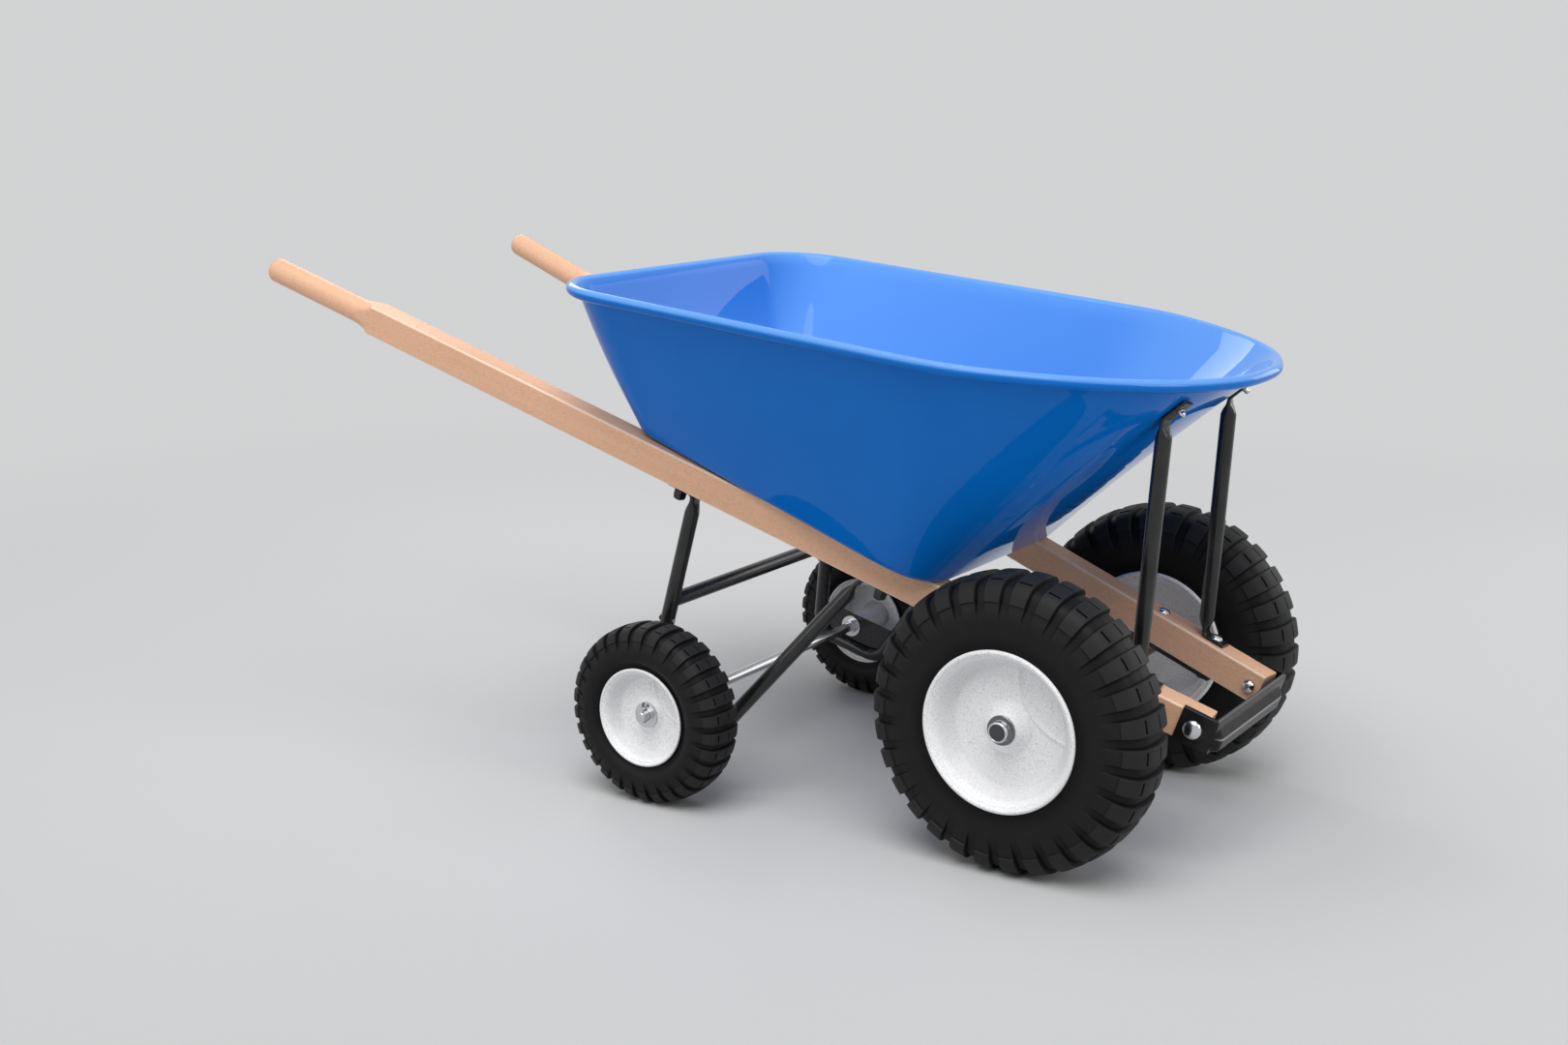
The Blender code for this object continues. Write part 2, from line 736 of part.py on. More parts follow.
def cotter_pin(word, side):
    """A bent wire: an eye above the axle, a leg through its hole and a tail turned aside below."""
    y = side * cotter_y()
    z = REAR_TYRE_RADIUS
    top = AXLE_RADIUS + COTTER_RADIUS + GAP
    points = [
        (REAR_AXLE_X - COTTER_TAIL, y, z - top - COTTER_RADIUS),
        (REAR_AXLE_X - COTTER_RADIUS, y, z - top - COTTER_RADIUS / 2),
        (REAR_AXLE_X, y, z - top + COTTER_RADIUS),
    ]
    for i in range(9):
        angle = math.radians(-90 + 35 * i)
        swing = COTTER_LOOP * math.cos(angle)
        rise = COTTER_LOOP * math.sin(angle)
        points.append((REAR_AXLE_X - swing, y, z + top + COTTER_LOOP + rise))
    frames = path_frames([Vector(point) for point in points], (0, 1, 0))
    stations = [(point, side_way, thick, COTTER_RADIUS, COTTER_RADIUS, COTTER_RADIUS)
                for point, (side_way, thick) in zip(points, frames)]
    swept("cotter_pin_" + word, BRIGHT_STEEL, stations, 1)


def build_axles():
    cap_reach = 0.0
    for word, side in SIDES:
        cap_reach = front_cap(word, side)
        rear_collar(word, side)
        ring("rear_axle_washer_" + word, BRIGHT_STEEL, REAR_AXLE_X, REAR_TYRE_RADIUS, side,
             rear_washer_y(), WASHER_RADIUS, WASHER_THICKNESS)
        cotter_pin(word, side)
    axle_rod("front_axle", 0, FRONT_TYRE_RADIUS, cap_reach)
    rear_half = REAR_WHEEL_Y + REAR_HUB_OUT + REAR_AXLE_STICKOUT
    rear = axle_rod("rear_axle", REAR_AXLE_X, REAR_TYRE_RADIUS, rear_half)
    for word, side in SIDES:
        low = Vector((REAR_AXLE_X, side * cotter_y(), REAR_TYRE_RADIUS - AXLE_RADIUS))
        drill(rear, "cotter_hole_" + word, COTTER_RADIUS + GAP, 2 * AXLE_RADIUS,
              Matrix.Translation(low), 12)


# Bolts, nuts and rivets

def dome(radius, rise, steps):
    """Points of a dome's outline from its top down to its edge."""
    points = []
    for i in range(steps + 1):
        angle = math.pi / 2 * i / steps
        points.append((radius * math.sin(angle), rise * math.cos(angle)))
    return points


def bolt(name, finish, radius, head, length, place):
    """A dome-headed bolt: its head stands above the place's origin and its shank runs below."""
    profile = dome(head, head * HEAD_RISE, 4)
    profile += [(head, -HEAD_EDGE), (radius, -HEAD_EDGE), (radius, -length), (0, -length)]
    lifted = place @ Matrix.Translation((0, 0, HEAD_EDGE + GAP))
    return turned(name, finish, profile, BOLT_STEPS, lifted)


def nut(name, bore, across_flats, height, place):
    """A hexagon nut whose top face lies a gap below the place's origin."""
    reach = across_flats / 2 / math.cos(math.pi / 6)
    down = place @ Matrix.Translation((0, 0, -height - GAP))
    obj = link(name, cylinder_mesh(name, reach, height, 6), DARK_NUT)
    obj.matrix_world = down
    drill(obj, name + "_thread", bore + GAP, height, down, 12)
    return obj


def cap_nut(name, bore, place):
    """A domed hexagon nut, closed at its lower end."""
    reach = TRAY_NUT_ACROSS / 2 / math.cos(math.pi / 6)
    wide = (bore + GAP) / math.cos(math.pi / 6)
    inside = TRAY_NUT_END - TRAY_NUT_HEIGHT
    dome_height = TRAY_NUT_HEIGHT - TRAY_NUT_SHOULDER
    profile = [(0, inside), (wide, inside), (wide, 0), (reach, 0)]
    profile += [(r, -TRAY_NUT_SHOULDER - h) for r, h in dome(reach, dome_height, 3)[::-1]]
    turned(name, DARK_NUT, profile, 6, place @ Matrix.Translation((0, 0, -GAP)))


def tray_bolt_left(side):
    return -side * TRAY_BOLT_INBOARD


def tray_bolt(word, side, label, along):
    """A bolt down through the tray's floor, the handle and a leg's tab, into a cap nut."""
    top = HANDLE_HEIGHT / 2 + GAP + TRAY_SHEET
    bottom = -HANDLE_HEIGHT / 2 - GAP - LEG_TAB_THICKNESS
    left = tray_bolt_left(side)
    place = handle_place(side)
    length = top - bottom + TRAY_NUT_HEIGHT - TRAY_NUT_END
    bolt(label + "_bolt_" + word, BRIGHT_STEEL, TRAY_BOLT_RADIUS, TRAY_BOLT_HEAD, length,
         place @ Matrix.Translation((along, left, top)))
    cap_nut(label + "_nut_" + word, TRAY_BOLT_RADIUS,
            place @ Matrix.Translation((along, left, bottom)))


def frame_bolt(word, side, label, along, above):
    """A bolt down through the handle and the bracket's plate, with a nut below."""
    top = HANDLE_HEIGHT / 2 + above
    bottom = -HANDLE_HEIGHT / 2 - GAP - BRACKET_PLATE
    place = handle_place(side)
    length = top - bottom + FRAME_NUT_HEIGHT + THREAD_SHOW
    bolt(label + "_bolt_" + word, BRIGHT_STEEL, FRAME_BOLT_RADIUS, FRAME_BOLT_HEAD, length,
         place @ Matrix.Translation((along, 0, top)))
    nut(label + "_nut_" + word, FRAME_BOLT_RADIUS, FRAME_NUT_ACROSS, FRAME_NUT_HEIGHT,
        place @ Matrix.Translation((along, 0, bottom)))


def build_handle_bolts():
    for word, side in SIDES:
        tray_bolt(word, side, "tray_rear", -TRAY_BOLT_REAR)
        tray_bolt(word, side, "tray_front", -TRAY_BOLT_FRONT)
        frame_bolt(word, side, "bracket", BRACKET_BOLT, 0)
        frame_bolt(word, side, "strut_foot", STRUT_FOOT, GAP + STRUT_TAB_THICKNESS)


def nose_bolt_place(side):
    """On the handle's outer face near its front end, Z pointing out of the barrow."""
    along = HANDLE_FRONT - NOSE_BOLT_BACK
    origin = on_handle(side, along, side * HANDLE_WIDTH / 2, 0)
    out = handle_place(side).to_3x3() @ Vector((0, side, 0))
    return axes_at(origin, out, HANDLE_UP)


def build_nose_bolts():
    for word, side in SIDES:
        place = nose_bolt_place(side)
        outside = GAP + GUARD_SHEET
        length = outside + HANDLE_WIDTH + NOSE_NUT_RADIUS * 0.7
        bolt("nose_bolt_" + word, BRIGHT_STEEL, NOSE_BOLT_RADIUS, NOSE_BOLT_HEAD, length,
             place @ Matrix.Translation((0, 0, outside)))
        inside = place @ Matrix.Translation((0, 0, -HANDLE_WIDTH - GAP))
        end = outside + HEAD_EDGE - length + HANDLE_WIDTH + GAP
        bore = NOSE_BOLT_RADIUS + GAP
        radius = NOSE_NUT_RADIUS
        profile = [(0, end), (bore, end), (bore, 0), (radius, 0), (radius, -radius * 0.35)]
        rise = [(r, -radius * 0.35 - h) for r, h in dome(radius, radius * 0.65, 4)]
        turned("nose_nut_" + word, BRIGHT_STEEL, profile + rise[::-1][1:], BOLT_STEPS, inside)


# Handles

def handle(word, side):
    """One bar of wood: a square-cut rounded-corner section, a neck and a turned grip."""
    half_width = HANDLE_WIDTH / 2
    half_height = HANDLE_HEIGHT / 2
    grip_start = -HANDLE_BACK + GRIP_LENGTH
    stations = []

    def station(along, width, height, corner):
        centre = Vector((along, 0, 0))
        stations.append((centre, (0, 1, 0), (0, 0, 1), width, height, corner))

    for i in range(5):
        angle = math.pi / 2 * i / 4
        radius = GRIP_RADIUS - GRIP_END_ROUND * (1 - math.sin(angle))
        along = -HANDLE_BACK + GRIP_END_ROUND * (1 - math.cos(angle))
        station(along, radius, radius, radius)
    station(grip_start, GRIP_RADIUS, GRIP_RADIUS, GRIP_RADIUS)
    for i in range(1, 5):
        t = i / 5
        ease = t * t * (3 - 2 * t)
        station(grip_start + GRIP_NECK * t,
                GRIP_RADIUS + (half_width - GRIP_RADIUS) * ease,
                GRIP_RADIUS + (half_height - GRIP_RADIUS) * ease,
                GRIP_RADIUS + (HANDLE_CORNER - GRIP_RADIUS) * ease)
    station(grip_start + GRIP_NECK, half_width, half_height, HANDLE_CORNER)
    station(HANDLE_FRONT, half_width, half_height, HANDLE_CORNER)
    obj = swept("handle_" + word, HANDLE_WOOD, stations, HANDLE_CORNER_STEPS)
    place = handle_place(side)
    obj.matrix_world = place

    down = -HANDLE_HEIGHT / 2
    holes = (
        ("tray_rear", -TRAY_BOLT_REAR, tray_bolt_left(side), TRAY_BOLT_RADIUS),
        ("tray_front", -TRAY_BOLT_FRONT, tray_bolt_left(side), TRAY_BOLT_RADIUS),
        ("bracket", BRACKET_BOLT, 0, FRAME_BOLT_RADIUS),
        ("strut_foot", STRUT_FOOT, 0, FRAME_BOLT_RADIUS),
    )
    for label, along, left, radius in holes:
        drill(obj, "handle_%s_hole_%s" % (label, word), radius + GAP, HANDLE_HEIGHT,
              place @ Matrix.Translation((along, left, down)))
    drill(obj, "handle_nose_hole_" + word, NOSE_BOLT_RADIUS + GAP, HANDLE_WIDTH,
          nose_bolt_place(side) @ Matrix.Translation((0, 0, -HANDLE_WIDTH)))


# Tray

def tray_column(u):
    """The outer face from the curled edge of the rim down to the floor."""
    bead, out, corner, inward = wall_ends(u)
    start = bead_start(bead, out, corner)
    end = RIM_CURL_END
    column = [on_bead(bead, out, end + (start - end) * i / 6) for i in range(7)]
    top = column[-1]
    up_wall = (top - corner).normalized()
    fold_top = corner + up_wall * FLOOR_FOLD
    fold_end = corner + inward * FLOOR_FOLD
    for t in WALL_ROWS:
        column.append(top.lerp(fold_top, t))
    for i in range(4):
        t = i / 3
        column.append(fold_top * (1 - t) ** 2 + corner * 2 * t * (1 - t) + fold_end * t ** 2)
    return column


def build_tray():
    """Half of the outer face, mirrored, then thickened inward."""
    columns = [tray_column(u) for u in tray_columns()]
    height = len(columns[0])
    points = [point for column in columns for point in column]
    faces = []
    for i in range(len(columns) - 1):
        for row in range(height - 1):
            a = i * height + row
            faces.append((a, a + 1, a + height + 1, a + height))
    faces.append(tuple(i * height + height - 1 for i in range(len(columns))))
    mesh = mesh_of("tray", points, [], faces)
    work = bmesh.new()
    work.from_mesh(mesh)
    work.faces.ensure_lookup_table()
    bmesh.ops.recalc_face_normals(work, faces=work.faces)
    if work.faces[-1].normal.z > 0:
        bmesh.ops.reverse_faces(work, faces=work.faces)
    bmesh.ops.triangulate(work, faces=work.faces)
    work.to_mesh(mesh)
    work.free()
    obj = link("tray", mesh, TRAY_BLUE)
    halves = obj.modifiers.new("halves", "MIRROR")
    halves.use_axis = (False, True, False)
    halves.merge_threshold = 0.00001
    sheet = obj.modifiers.new("sheet", "SOLIDIFY")
    sheet.thickness = TRAY_SHEET
    sheet.offset = -1.0
    sheet.use_even_offset = True
    for word, side in SIDES:
        for label, along in (("rear", -TRAY_BOLT_REAR), ("front", -TRAY_BOLT_FRONT)):
            start = HANDLE_HEIGHT / 2 + GAP
            place = Matrix.Translation((along, tray_bolt_left(side), start))
            drill(obj, "tray_%s_hole_%s" % (label, word), TRAY_BOLT_RADIUS + GAP, TRAY_SHEET,
                  handle_place(side) @ place)
        drill(obj, "tray_rivet_hole_" + word, RIVET_RADIUS + GAP, TRAY_SHEET,
              strut_rivet_place(side) @ Matrix.Translation((0, 0, -TRAY_SHEET)), 12)


# Struts between the handles and the tray's front wall

def strut_rivet_place(side):
    """On the tray's outer face, Z pointing out of the tray."""
    seat, normal, up = wall_seat(STRUT_TOP_Y, STRUT_SEAT_UP_WALL)
    seat = Vector((seat.x, side * seat.y, seat.z))
    normal = Vector((normal.x, side * normal.y, normal.z))
    return axes_at(seat, normal, (0, 1, 0))


def strut(word, side):
    """A tube with both ends pressed flat: one lies on the handle, the other on the tray."""
    half_tab = STRUT_TAB_THICKNESS / 2
    rest = HANDLE_HEIGHT / 2 + GAP + half_tab
    foot_end = on_handle(side, STRUT_FOOT + STRUT_FOOT_FRONT, 0, rest)
    heel = on_handle(side, STRUT_FOOT - STRUT_FOOT_BACK, 0, rest)
    seat, normal, up = wall_seat(STRUT_TOP_Y, STRUT_SEAT_UP_WALL)
    for vector in (seat, normal, up):
        vector.y *= side
    lift = normal * (STRUT_TAB_GAP + half_tab)
    tab_start = seat - up * STRUT_TAB_DOWN + lift
    tab_end = seat + up * STRUT_TAB_UP + lift
    radii = (STRUT_FOOT_BEND, STRUT_TOP_BEND)
    bends = filleted([foot_end, heel, tab_start, tab_end], radii, BEND_STEPS)
    neck = BEND_STEPS + 1
    tube = (tab_start - heel).normalized() * FLATTEN_LENGTH
    first = [bends[neck] + tube * reach for reach in FLATTEN_REACHES]
    last = [bends[neck + 1] - tube * reach for reach in reversed(FLATTEN_REACHES)]
    path = bends[:neck + 1] + first + last + bends[neck + 1:]
    along_wall = up.cross(normal).normalized()
    lower = neck + 1 + len(first)
    frames = path_frames(path, (0, 1, 0))[:lower] + path_frames(path, along_wall)[lower:]
    frames[-1] = (along_wall, -normal)
    frames[-2] = frames[-1]
    shares = [0.0] * (neck + 1) + list(FLATTEN_SHARES) + list(reversed(FLATTEN_SHARES))
    shares += [0.0] * (neck + 1)
    stations = []
    for share, point, (side_way, thick) in zip(shares, path, frames):
        half_width = STRUT_TAB_WIDTH / 2 * (1 - share) + STRUT_TUBE_RADIUS * share
        half_thick = half_tab * (1 - share) + STRUT_TUBE_RADIUS * share
        stations.append((point, side_way, thick, half_width, half_thick, half_thick))
    obj = swept("front_strut_" + word, BLACK_COAT, stations, TUBE_CORNER_STEPS)
    bolt_place = handle_place(side) @ Matrix.Translation((STRUT_FOOT, 0, rest - half_tab))
    drill(obj, "strut_foot_hole_" + word, FRAME_BOLT_RADIUS + GAP, STRUT_TAB_THICKNESS, bolt_place)
    drill(obj, "strut_rivet_hole_" + word, RIVET_RADIUS + GAP, STRUT_TAB_THICKNESS,
          strut_rivet_place(side) @ Matrix.Translation((0, 0, STRUT_TAB_GAP)), 12)


def strut_rivet(word, side):
    """A domed rivet through the strut's top tab and the tray's wall."""
    inside = -TRAY_SHEET - STRUT_TAB_GAP
    outside = STRUT_TAB_GAP + STRUT_TAB_THICKNESS + GAP
    collar = outside + RIVET_FLANGE_THICKNESS
    shoulder = outside + RIVET_HEIGHT - RIVET_HEAD
    upper = [(r, shoulder + h) for r, h in dome(RIVET_HEAD, RIVET_HEAD, 3)]
    upper += [(RIVET_HEAD, collar), (RIVET_FLANGE, collar), (RIVET_FLANGE, outside)]
    lower = [(r, inside - h) for r, h in dome(RIVET_FLANGE, RIVET_TAIL_RISE, 2)]
    profile = upper + [(RIVET_RADIUS, outside), (RIVET_RADIUS, inside)] + lower[::-1]
    turned("strut_rivet_" + word, BRIGHT_STEEL, profile, BOLT_STEPS, strut_rivet_place(side))


def build_struts():
    for word, side in SIDES:
        strut(word, side)
        strut_rivet(word, side)


# Rear legs with their gussets, brace and bolts

def leg_corners(side):
    """The leg's centre line: tab end, neck, two bottom corners, neck and tab end."""
    left = tray_bolt_left(side)
    under = -HANDLE_HEIGHT / 2 - GAP - LEG_TAB_THICKNESS / 2
    low = under - LEG_FRONT_NECK_DROP
    back_end = on_handle(side, -TRAY_BOLT_REAR - TAB_END, left, under)
    back_neck = on_handle(side, -TRAY_BOLT_REAR + LEG_BACK_NECK, left, under)
    front_neck_low = on_handle(side, -TRAY_BOLT_FRONT - LEG_FRONT_NECK_LOW, left, low)
    front_neck = on_handle(side, -TRAY_BOLT_FRONT - LEG_FRONT_NECK, left, under)
    front_end = on_handle(side, -TRAY_BOLT_FRONT + TAB_END, left, under)
    y = side * LEG_SPREAD_Y
    z = REAR_TYRE_RADIUS
    bottom_back = Vector((REAR_AXLE_X - LEG_BOTTOM_BACK, y, z - LEG_BACK_DROP))
    bottom_front = Vector((REAR_AXLE_X + LEG_BOTTOM_FRONT, y, z - LEG_FRONT_DROP))
    return back_end, back_neck, bottom_back, bottom_front, front_neck_low, front_neck, front_end


def rear_tube_at(side, z):
    """A point on the centre line of the leg's rear tube, and the tube's direction upward."""
    _, top, bottom, *_ = leg_corners(side)
    rise = top - bottom
    return bottom + rise * ((z - bottom.z) / rise.z), rise.normalized()


def leg_path(side):
    return filleted(leg_corners(side), LEG_BENDS, BEND_STEPS)


def leg_stations(side, spare):
    """Stations down the leg; spare adds to the tube's radius, for cutting its neighbours."""
    path = leg_path(side)
    half_tab = LEG_TAB_THICKNESS / 2
    stations = []
    neck = BEND_STEPS + 1
    low_end = 3 * neck
    down = (path[neck + 1] - path[neck]).normalized() * FLATTEN_LENGTH
    up = (path[low_end + 1] - path[low_end]).normalized() * FLATTEN_LENGTH
    first = [path[neck] + down * reach for reach in FLATTEN_REACHES]
    last = [path[low_end + 1] - up * reach for reach in reversed(FLATTEN_REACHES)]
    full = path[:neck + 1] + first + path[neck + 1:low_end + 1] + last + path[low_end + 1:]
    shares = [0.0] * (neck + 1) + list(FLATTEN_SHARES) + [1.0] * 2 * neck
    shares += list(reversed(FLATTEN_SHARES))
    shares += [0.0] * (len(full) - len(shares))
    handle_left = handle_place(side).to_3x3() @ Vector((0, 1, 0))
    for share, point, (side_way, thick) in zip(shares, full, path_frames(full, handle_left)):
        half_width = LEG_TAB_WIDTH / 2 * (1 - share) + LEG_TUBE_RADIUS * share
        half_thick = half_tab * (1 - share) + LEG_TUBE_RADIUS * share
        stations.append((point, side_way, thick, half_width + spare, half_thick + spare,
                         half_thick + spare))
    return stations


def leg_bolt_place(side):
    """On the centre line of the rear tube, Z pointing backward out of it."""
    centre, rise = rear_tube_at(side, LEG_BOLT_HEIGHT)
    back = Vector((-rise.z, 0, rise.x)).normalized()
    return axes_at(centre, back, (0, 1, 0))


def rear_leg(word, side):
    obj = swept("rear_leg_" + word, BLACK_COAT, leg_stations(side, 0.0), TUBE_CORNER_STEPS)
    under = -HANDLE_HEIGHT / 2 - GAP - LEG_TAB_THICKNESS
    for label, along in (("rear", -TRAY_BOLT_REAR), ("front", -TRAY_BOLT_FRONT)):
        place = handle_place(side) @ Matrix.Translation((along, tray_bolt_left(side), under))
        drill(obj, "leg_%s_hole_%s" % (label, word), TRAY_BOLT_RADIUS + GAP, LEG_TAB_THICKNESS, place)
    start = leg_bolt_place(side) @ Matrix.Translation((0, 0, -LEG_TUBE_RADIUS))
    drill(obj, "leg_bolt_hole_" + word, LEG_BOLT_RADIUS + GAP, 2 * LEG_TUBE_RADIUS, start, 12)


def leg_bolt(word, side):
    outer = leg_bolt_place(side) @ Matrix.Translation((0, 0, LEG_TUBE_RADIUS))
    bolt("leg_bolt_" + word, BRIGHT_STEEL, LEG_BOLT_RADIUS, LEG_BOLT_HEAD,
         2 * LEG_TUBE_RADIUS + THREAD_SHOW / 2, outer)


def gusset(word, side):
    """A plate that fills the leg's bend and carries the rear axle."""
    y = side * LEG_SPREAD_Y
    bend_start = BEND_STEPS + 2
    bends = leg_path(side)[bend_start:bend_start + 2 * (BEND_STEPS + 1)]
    back, _ = rear_tube_at(side, REAR_TYRE_RADIUS + GUSSET_BACK_RISE)
    bottom_front, front_neck = leg_corners(side)[3:5]
    front_z = REAR_TYRE_RADIUS + GUSSET_FRONT_RISE
    rise = front_neck - bottom_front
    front = bottom_front + rise * ((front_z - bottom_front.z) / rise.z)
    outline = [(p.x, p.z) for p in (back, *bends, front)]
    half = GUSSET_SHEET / 2
    count = len(outline)
    points = [(x, y - half, z) for x, z in outline] + [(x, y + half, z) for x, z in outline]
    faces = [tuple(range(count)), tuple(range(2 * count - 1, count - 1, -1))]
    faces += [(i, count + i, count + (i + 1) % count, (i + 1) % count) for i in range(count)]
    mesh = mesh_of("axle_gusset_" + word, points, [], faces)
    face_outward(mesh)
    obj = link("axle_gusset_" + word, mesh, BLACK_COAT)
    fat_leg = swept("leg_room_" + word, None, leg_stations(side, GAP), TUBE_CORNER_STEPS, CUTTERS)
    fat_leg.hide_render = True
    fat_leg.display_type = "WIRE"
    boolean(obj, fat_leg, "DIFFERENCE")
    hole = across(REAR_AXLE_X, LEG_SPREAD_Y - half, REAR_TYRE_RADIUS, side)
    drill(obj, "gusset_axle_hole_" + word, AXLE_RADIUS + GAP, GUSSET_SHEET, hole, HUB_STEPS)


def cross_brace():
    """A straight tube between the legs' rear tubes, its ends cut to fit round them."""
    centre, _ = rear_tube_at(1, BRACE_HEIGHT)
    start = Vector((centre.x, -centre.y, centre.z))
    mesh = cylinder_mesh("cross_brace", BRACE_RADIUS, 2 * centre.y, 16)
    obj = link("cross_brace", mesh, BLACK_COAT)
    obj.matrix_world = axes_at(start, (0, 1, 0), (1, 0, 0))
    for word, side in SIDES:
        low, rise = rear_tube_at(side, BRACE_HEIGHT - 3 * BRACE_RADIUS)
        name = "brace_end_" + word
        tool = cutter(name, cylinder_mesh(name, LEG_TUBE_RADIUS + GAP, 7 * BRACE_RADIUS, 32),
                      axes_at(low, rise, (0, 1, 0)))
        boolean(obj, tool, "DIFFERENCE")


def build_legs():
    for word, side in SIDES:
        rear_leg(word, side)
        gusset(word, side)
        leg_bolt(word, side)
    cross_brace()


# Axle brackets

def axle_bracket(word, side):
    """A plate under the handle, a web down from it and a boss that holds the front axle."""
    place = handle_place(side)
    top = -HANDLE_HEIGHT / 2 - GAP
    half = HANDLE_WIDTH / 2
    mesh = box_mesh("axle_bracket_" + word, (-BRACKET_BACK, -half, top - BRACKET_PLATE),
                    (BRACKET_FRONT, half, top))
    obj = link("axle_bracket_" + word, mesh, BLACK_COAT)
    obj.matrix_world = place

    z = FRONT_TYRE_RADIUS
    axle = place.inverted() @ Vector((0, side * HANDLE_Y_AT_AXLE, z))
    low = (axle.x - BRACKET_WEB_LENGTH / 2, -BRACKET_WEB_WIDTH / 2, axle.z)
    high = (axle.x + BRACKET_WEB_LENGTH / 2, BRACKET_WEB_WIDTH / 2, top - BRACKET_PLATE / 2)
    web = cutter("bracket_web_" + word, box_mesh("bracket_web_" + word, low, high), place)
    boolean(obj, web, "UNION")
    boss_in = HANDLE_Y_AT_AXLE - BRACKET_WEB_WIDTH / 2 - BOSS_PROUD
    boss_out = FRONT_WHEEL_Y - FRONT_HUB_IN - BUSHING_PROUD - GAP
    name = "bracket_boss_" + word
    boss = cutter(name, cylinder_mesh(name, BOSS_RADIUS, boss_out - boss_in, HUB_STEPS),
                  across(0, boss_in, z, side))
    boolean(obj, boss, "UNION")
    drill(obj, "bracket_axle_hole_" + word, AXLE_RADIUS + GAP, boss_out - boss_in,
          across(0, boss_in, z, side), HUB_STEPS)
    for label, along in (("bracket", BRACKET_BOLT), ("strut_foot", STRUT_FOOT)):
        drill(obj, "bracket_%s_hole_%s" % (label, word), FRAME_BOLT_RADIUS + GAP, BRACKET_PLATE,
              place @ Matrix.Translation((along, 0, top - BRACKET_PLATE)))


# Nose guard

def nose_guard():
    """One folded sheet: a flap on each handle's outer face and a ridged panel across the front.

    Half of it is drawn, mirrored and then thickened outward.
    """
    half_height = HANDLE_HEIGHT / 2
    face = HANDLE_WIDTH / 2 + GAP
    rows = [
        (half_height + GUARD_RISE, 0.0, GUARD_LIP),
        (half_height + GUARD_RISE - GUARD_LIP / 2, 0.0, 0.0),
        (half_height - GUARD_RIDGE_TOP, 0.0, 0.0),
        (half_height - GUARD_RIDGE_PEAK, 1.0, 0.0),
        (-half_height, 0.0, 0.0),
    ]
    front = on_handle(1, HANDLE_FRONT, 0, 0)
    panel_x = front.x + GUARD_STANDOFF * math.cos(HANDLE_SLOPE)
    panel_z = front.z - GUARD_STANDOFF * math.sin(HANDLE_SLOPE)
    panel = Vector((panel_x, 0, panel_z))
    corner_along = along_handle_at(panel_x)
    corner_y = on_handle(1, corner_along, face, 0).y
    grid = []
    for height, ridge, lip in rows:
        row = []
        edge = corner_y - GUARD_RIDGE_END
        for y in (0, edge / 2, edge):
            point = panel + HANDLE_UP * height + HANDLE_FORWARD * (GUARD_RIDGE * ridge - lip)
            row.append(point + Vector((0, y, 0)))
        point = panel + HANDLE_UP * height - HANDLE_FORWARD * (lip / 2)
        row.append(point + Vector((0, corner_y - lip / 2, 0)))
        for along in (corner_along - GUARD_FLAP / 2, corner_along - GUARD_FLAP):
            row.append(on_handle(1, along, face - lip, height))
        grid.append(row)
    points = [point for row in grid for point in row]
    width = len(grid[0])
    faces = []
    for i in range(len(grid) - 1):
        for j in range(width - 1):
            a = i * width + j
            faces.append((a, a + 1, a + width + 1, a + width))
    mesh = mesh_of("nose_guard", points, [], faces)
    face_outward(mesh)
    split_quads(mesh)
    obj = link("nose_guard", mesh, BLACK_COAT)
    halves = obj.modifiers.new("halves", "MIRROR")
    halves.use_axis = (False, True, False)
    halves.merge_threshold = 0.00001
    sheet = obj.modifiers.new("sheet", "SOLIDIFY")
    sheet.thickness = GUARD_SHEET
    sheet.use_even_offset = True
    sheet.offset = 1.0 if mesh.polygons[0].normal.x > 0 else -1.0
    for word, side in SIDES:
        drill(obj, "guard_bolt_hole_" + word, NOSE_BOLT_RADIUS + GAP, GUARD_SHEET,
              nose_bolt_place(side) @ Matrix.Translation((0, 0, GAP)))


# Standing on the origin

def middle_x():
    graph = bpy.context.evaluated_depsgraph_get()
    reach = []
    for obj in PARTS.objects:
        if obj.type == "EMPTY":
            continue
        solid = obj.evaluated_get(graph)
        mesh = solid.to_mesh()
        xs = [(solid.matrix_world @ vertex.co).x for vertex in mesh.vertices]
        reach += [min(xs), max(xs)]
        solid.to_mesh_clear()
    return (min(reach) + max(reach)) / 2


def stand_on_origin():
    """Moves everything along X so that the origin is below the middle of the whole length."""
    shift = Matrix.Translation((-middle_x(), 0, 0))
    for obj in list(PARTS.objects) + list(CUTTERS.objects):
        if obj.parent is None:
            obj.matrix_world = shift @ obj.matrix_world
    bpy.context.view_layer.update()


build_wheels()
build_axles()
for side_word, side_sign in SIDES:
    handle(side_word, side_sign)
    axle_bracket(side_word, side_sign)
build_tray()
build_struts()
build_legs()
build_handle_bolts()
build_nose_bolts()
nose_guard()
stand_on_origin()
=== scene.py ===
# %% [markdown]
# # A wheelbarrow on four wheels
# The barrow is a pressed steel tray on two long wooden handles. Two big wheels carry the load in
# front, and two small ones under bent tube legs keep it level when nobody lifts it.
# The measured solids come in first. Each of them then gets a finer surface or a better finish, and
# every new piece is tied to the body that it moves with.

# %% Load the solids
import json
import math

import bmesh
import bpy
from mathutils import Matrix, Vector


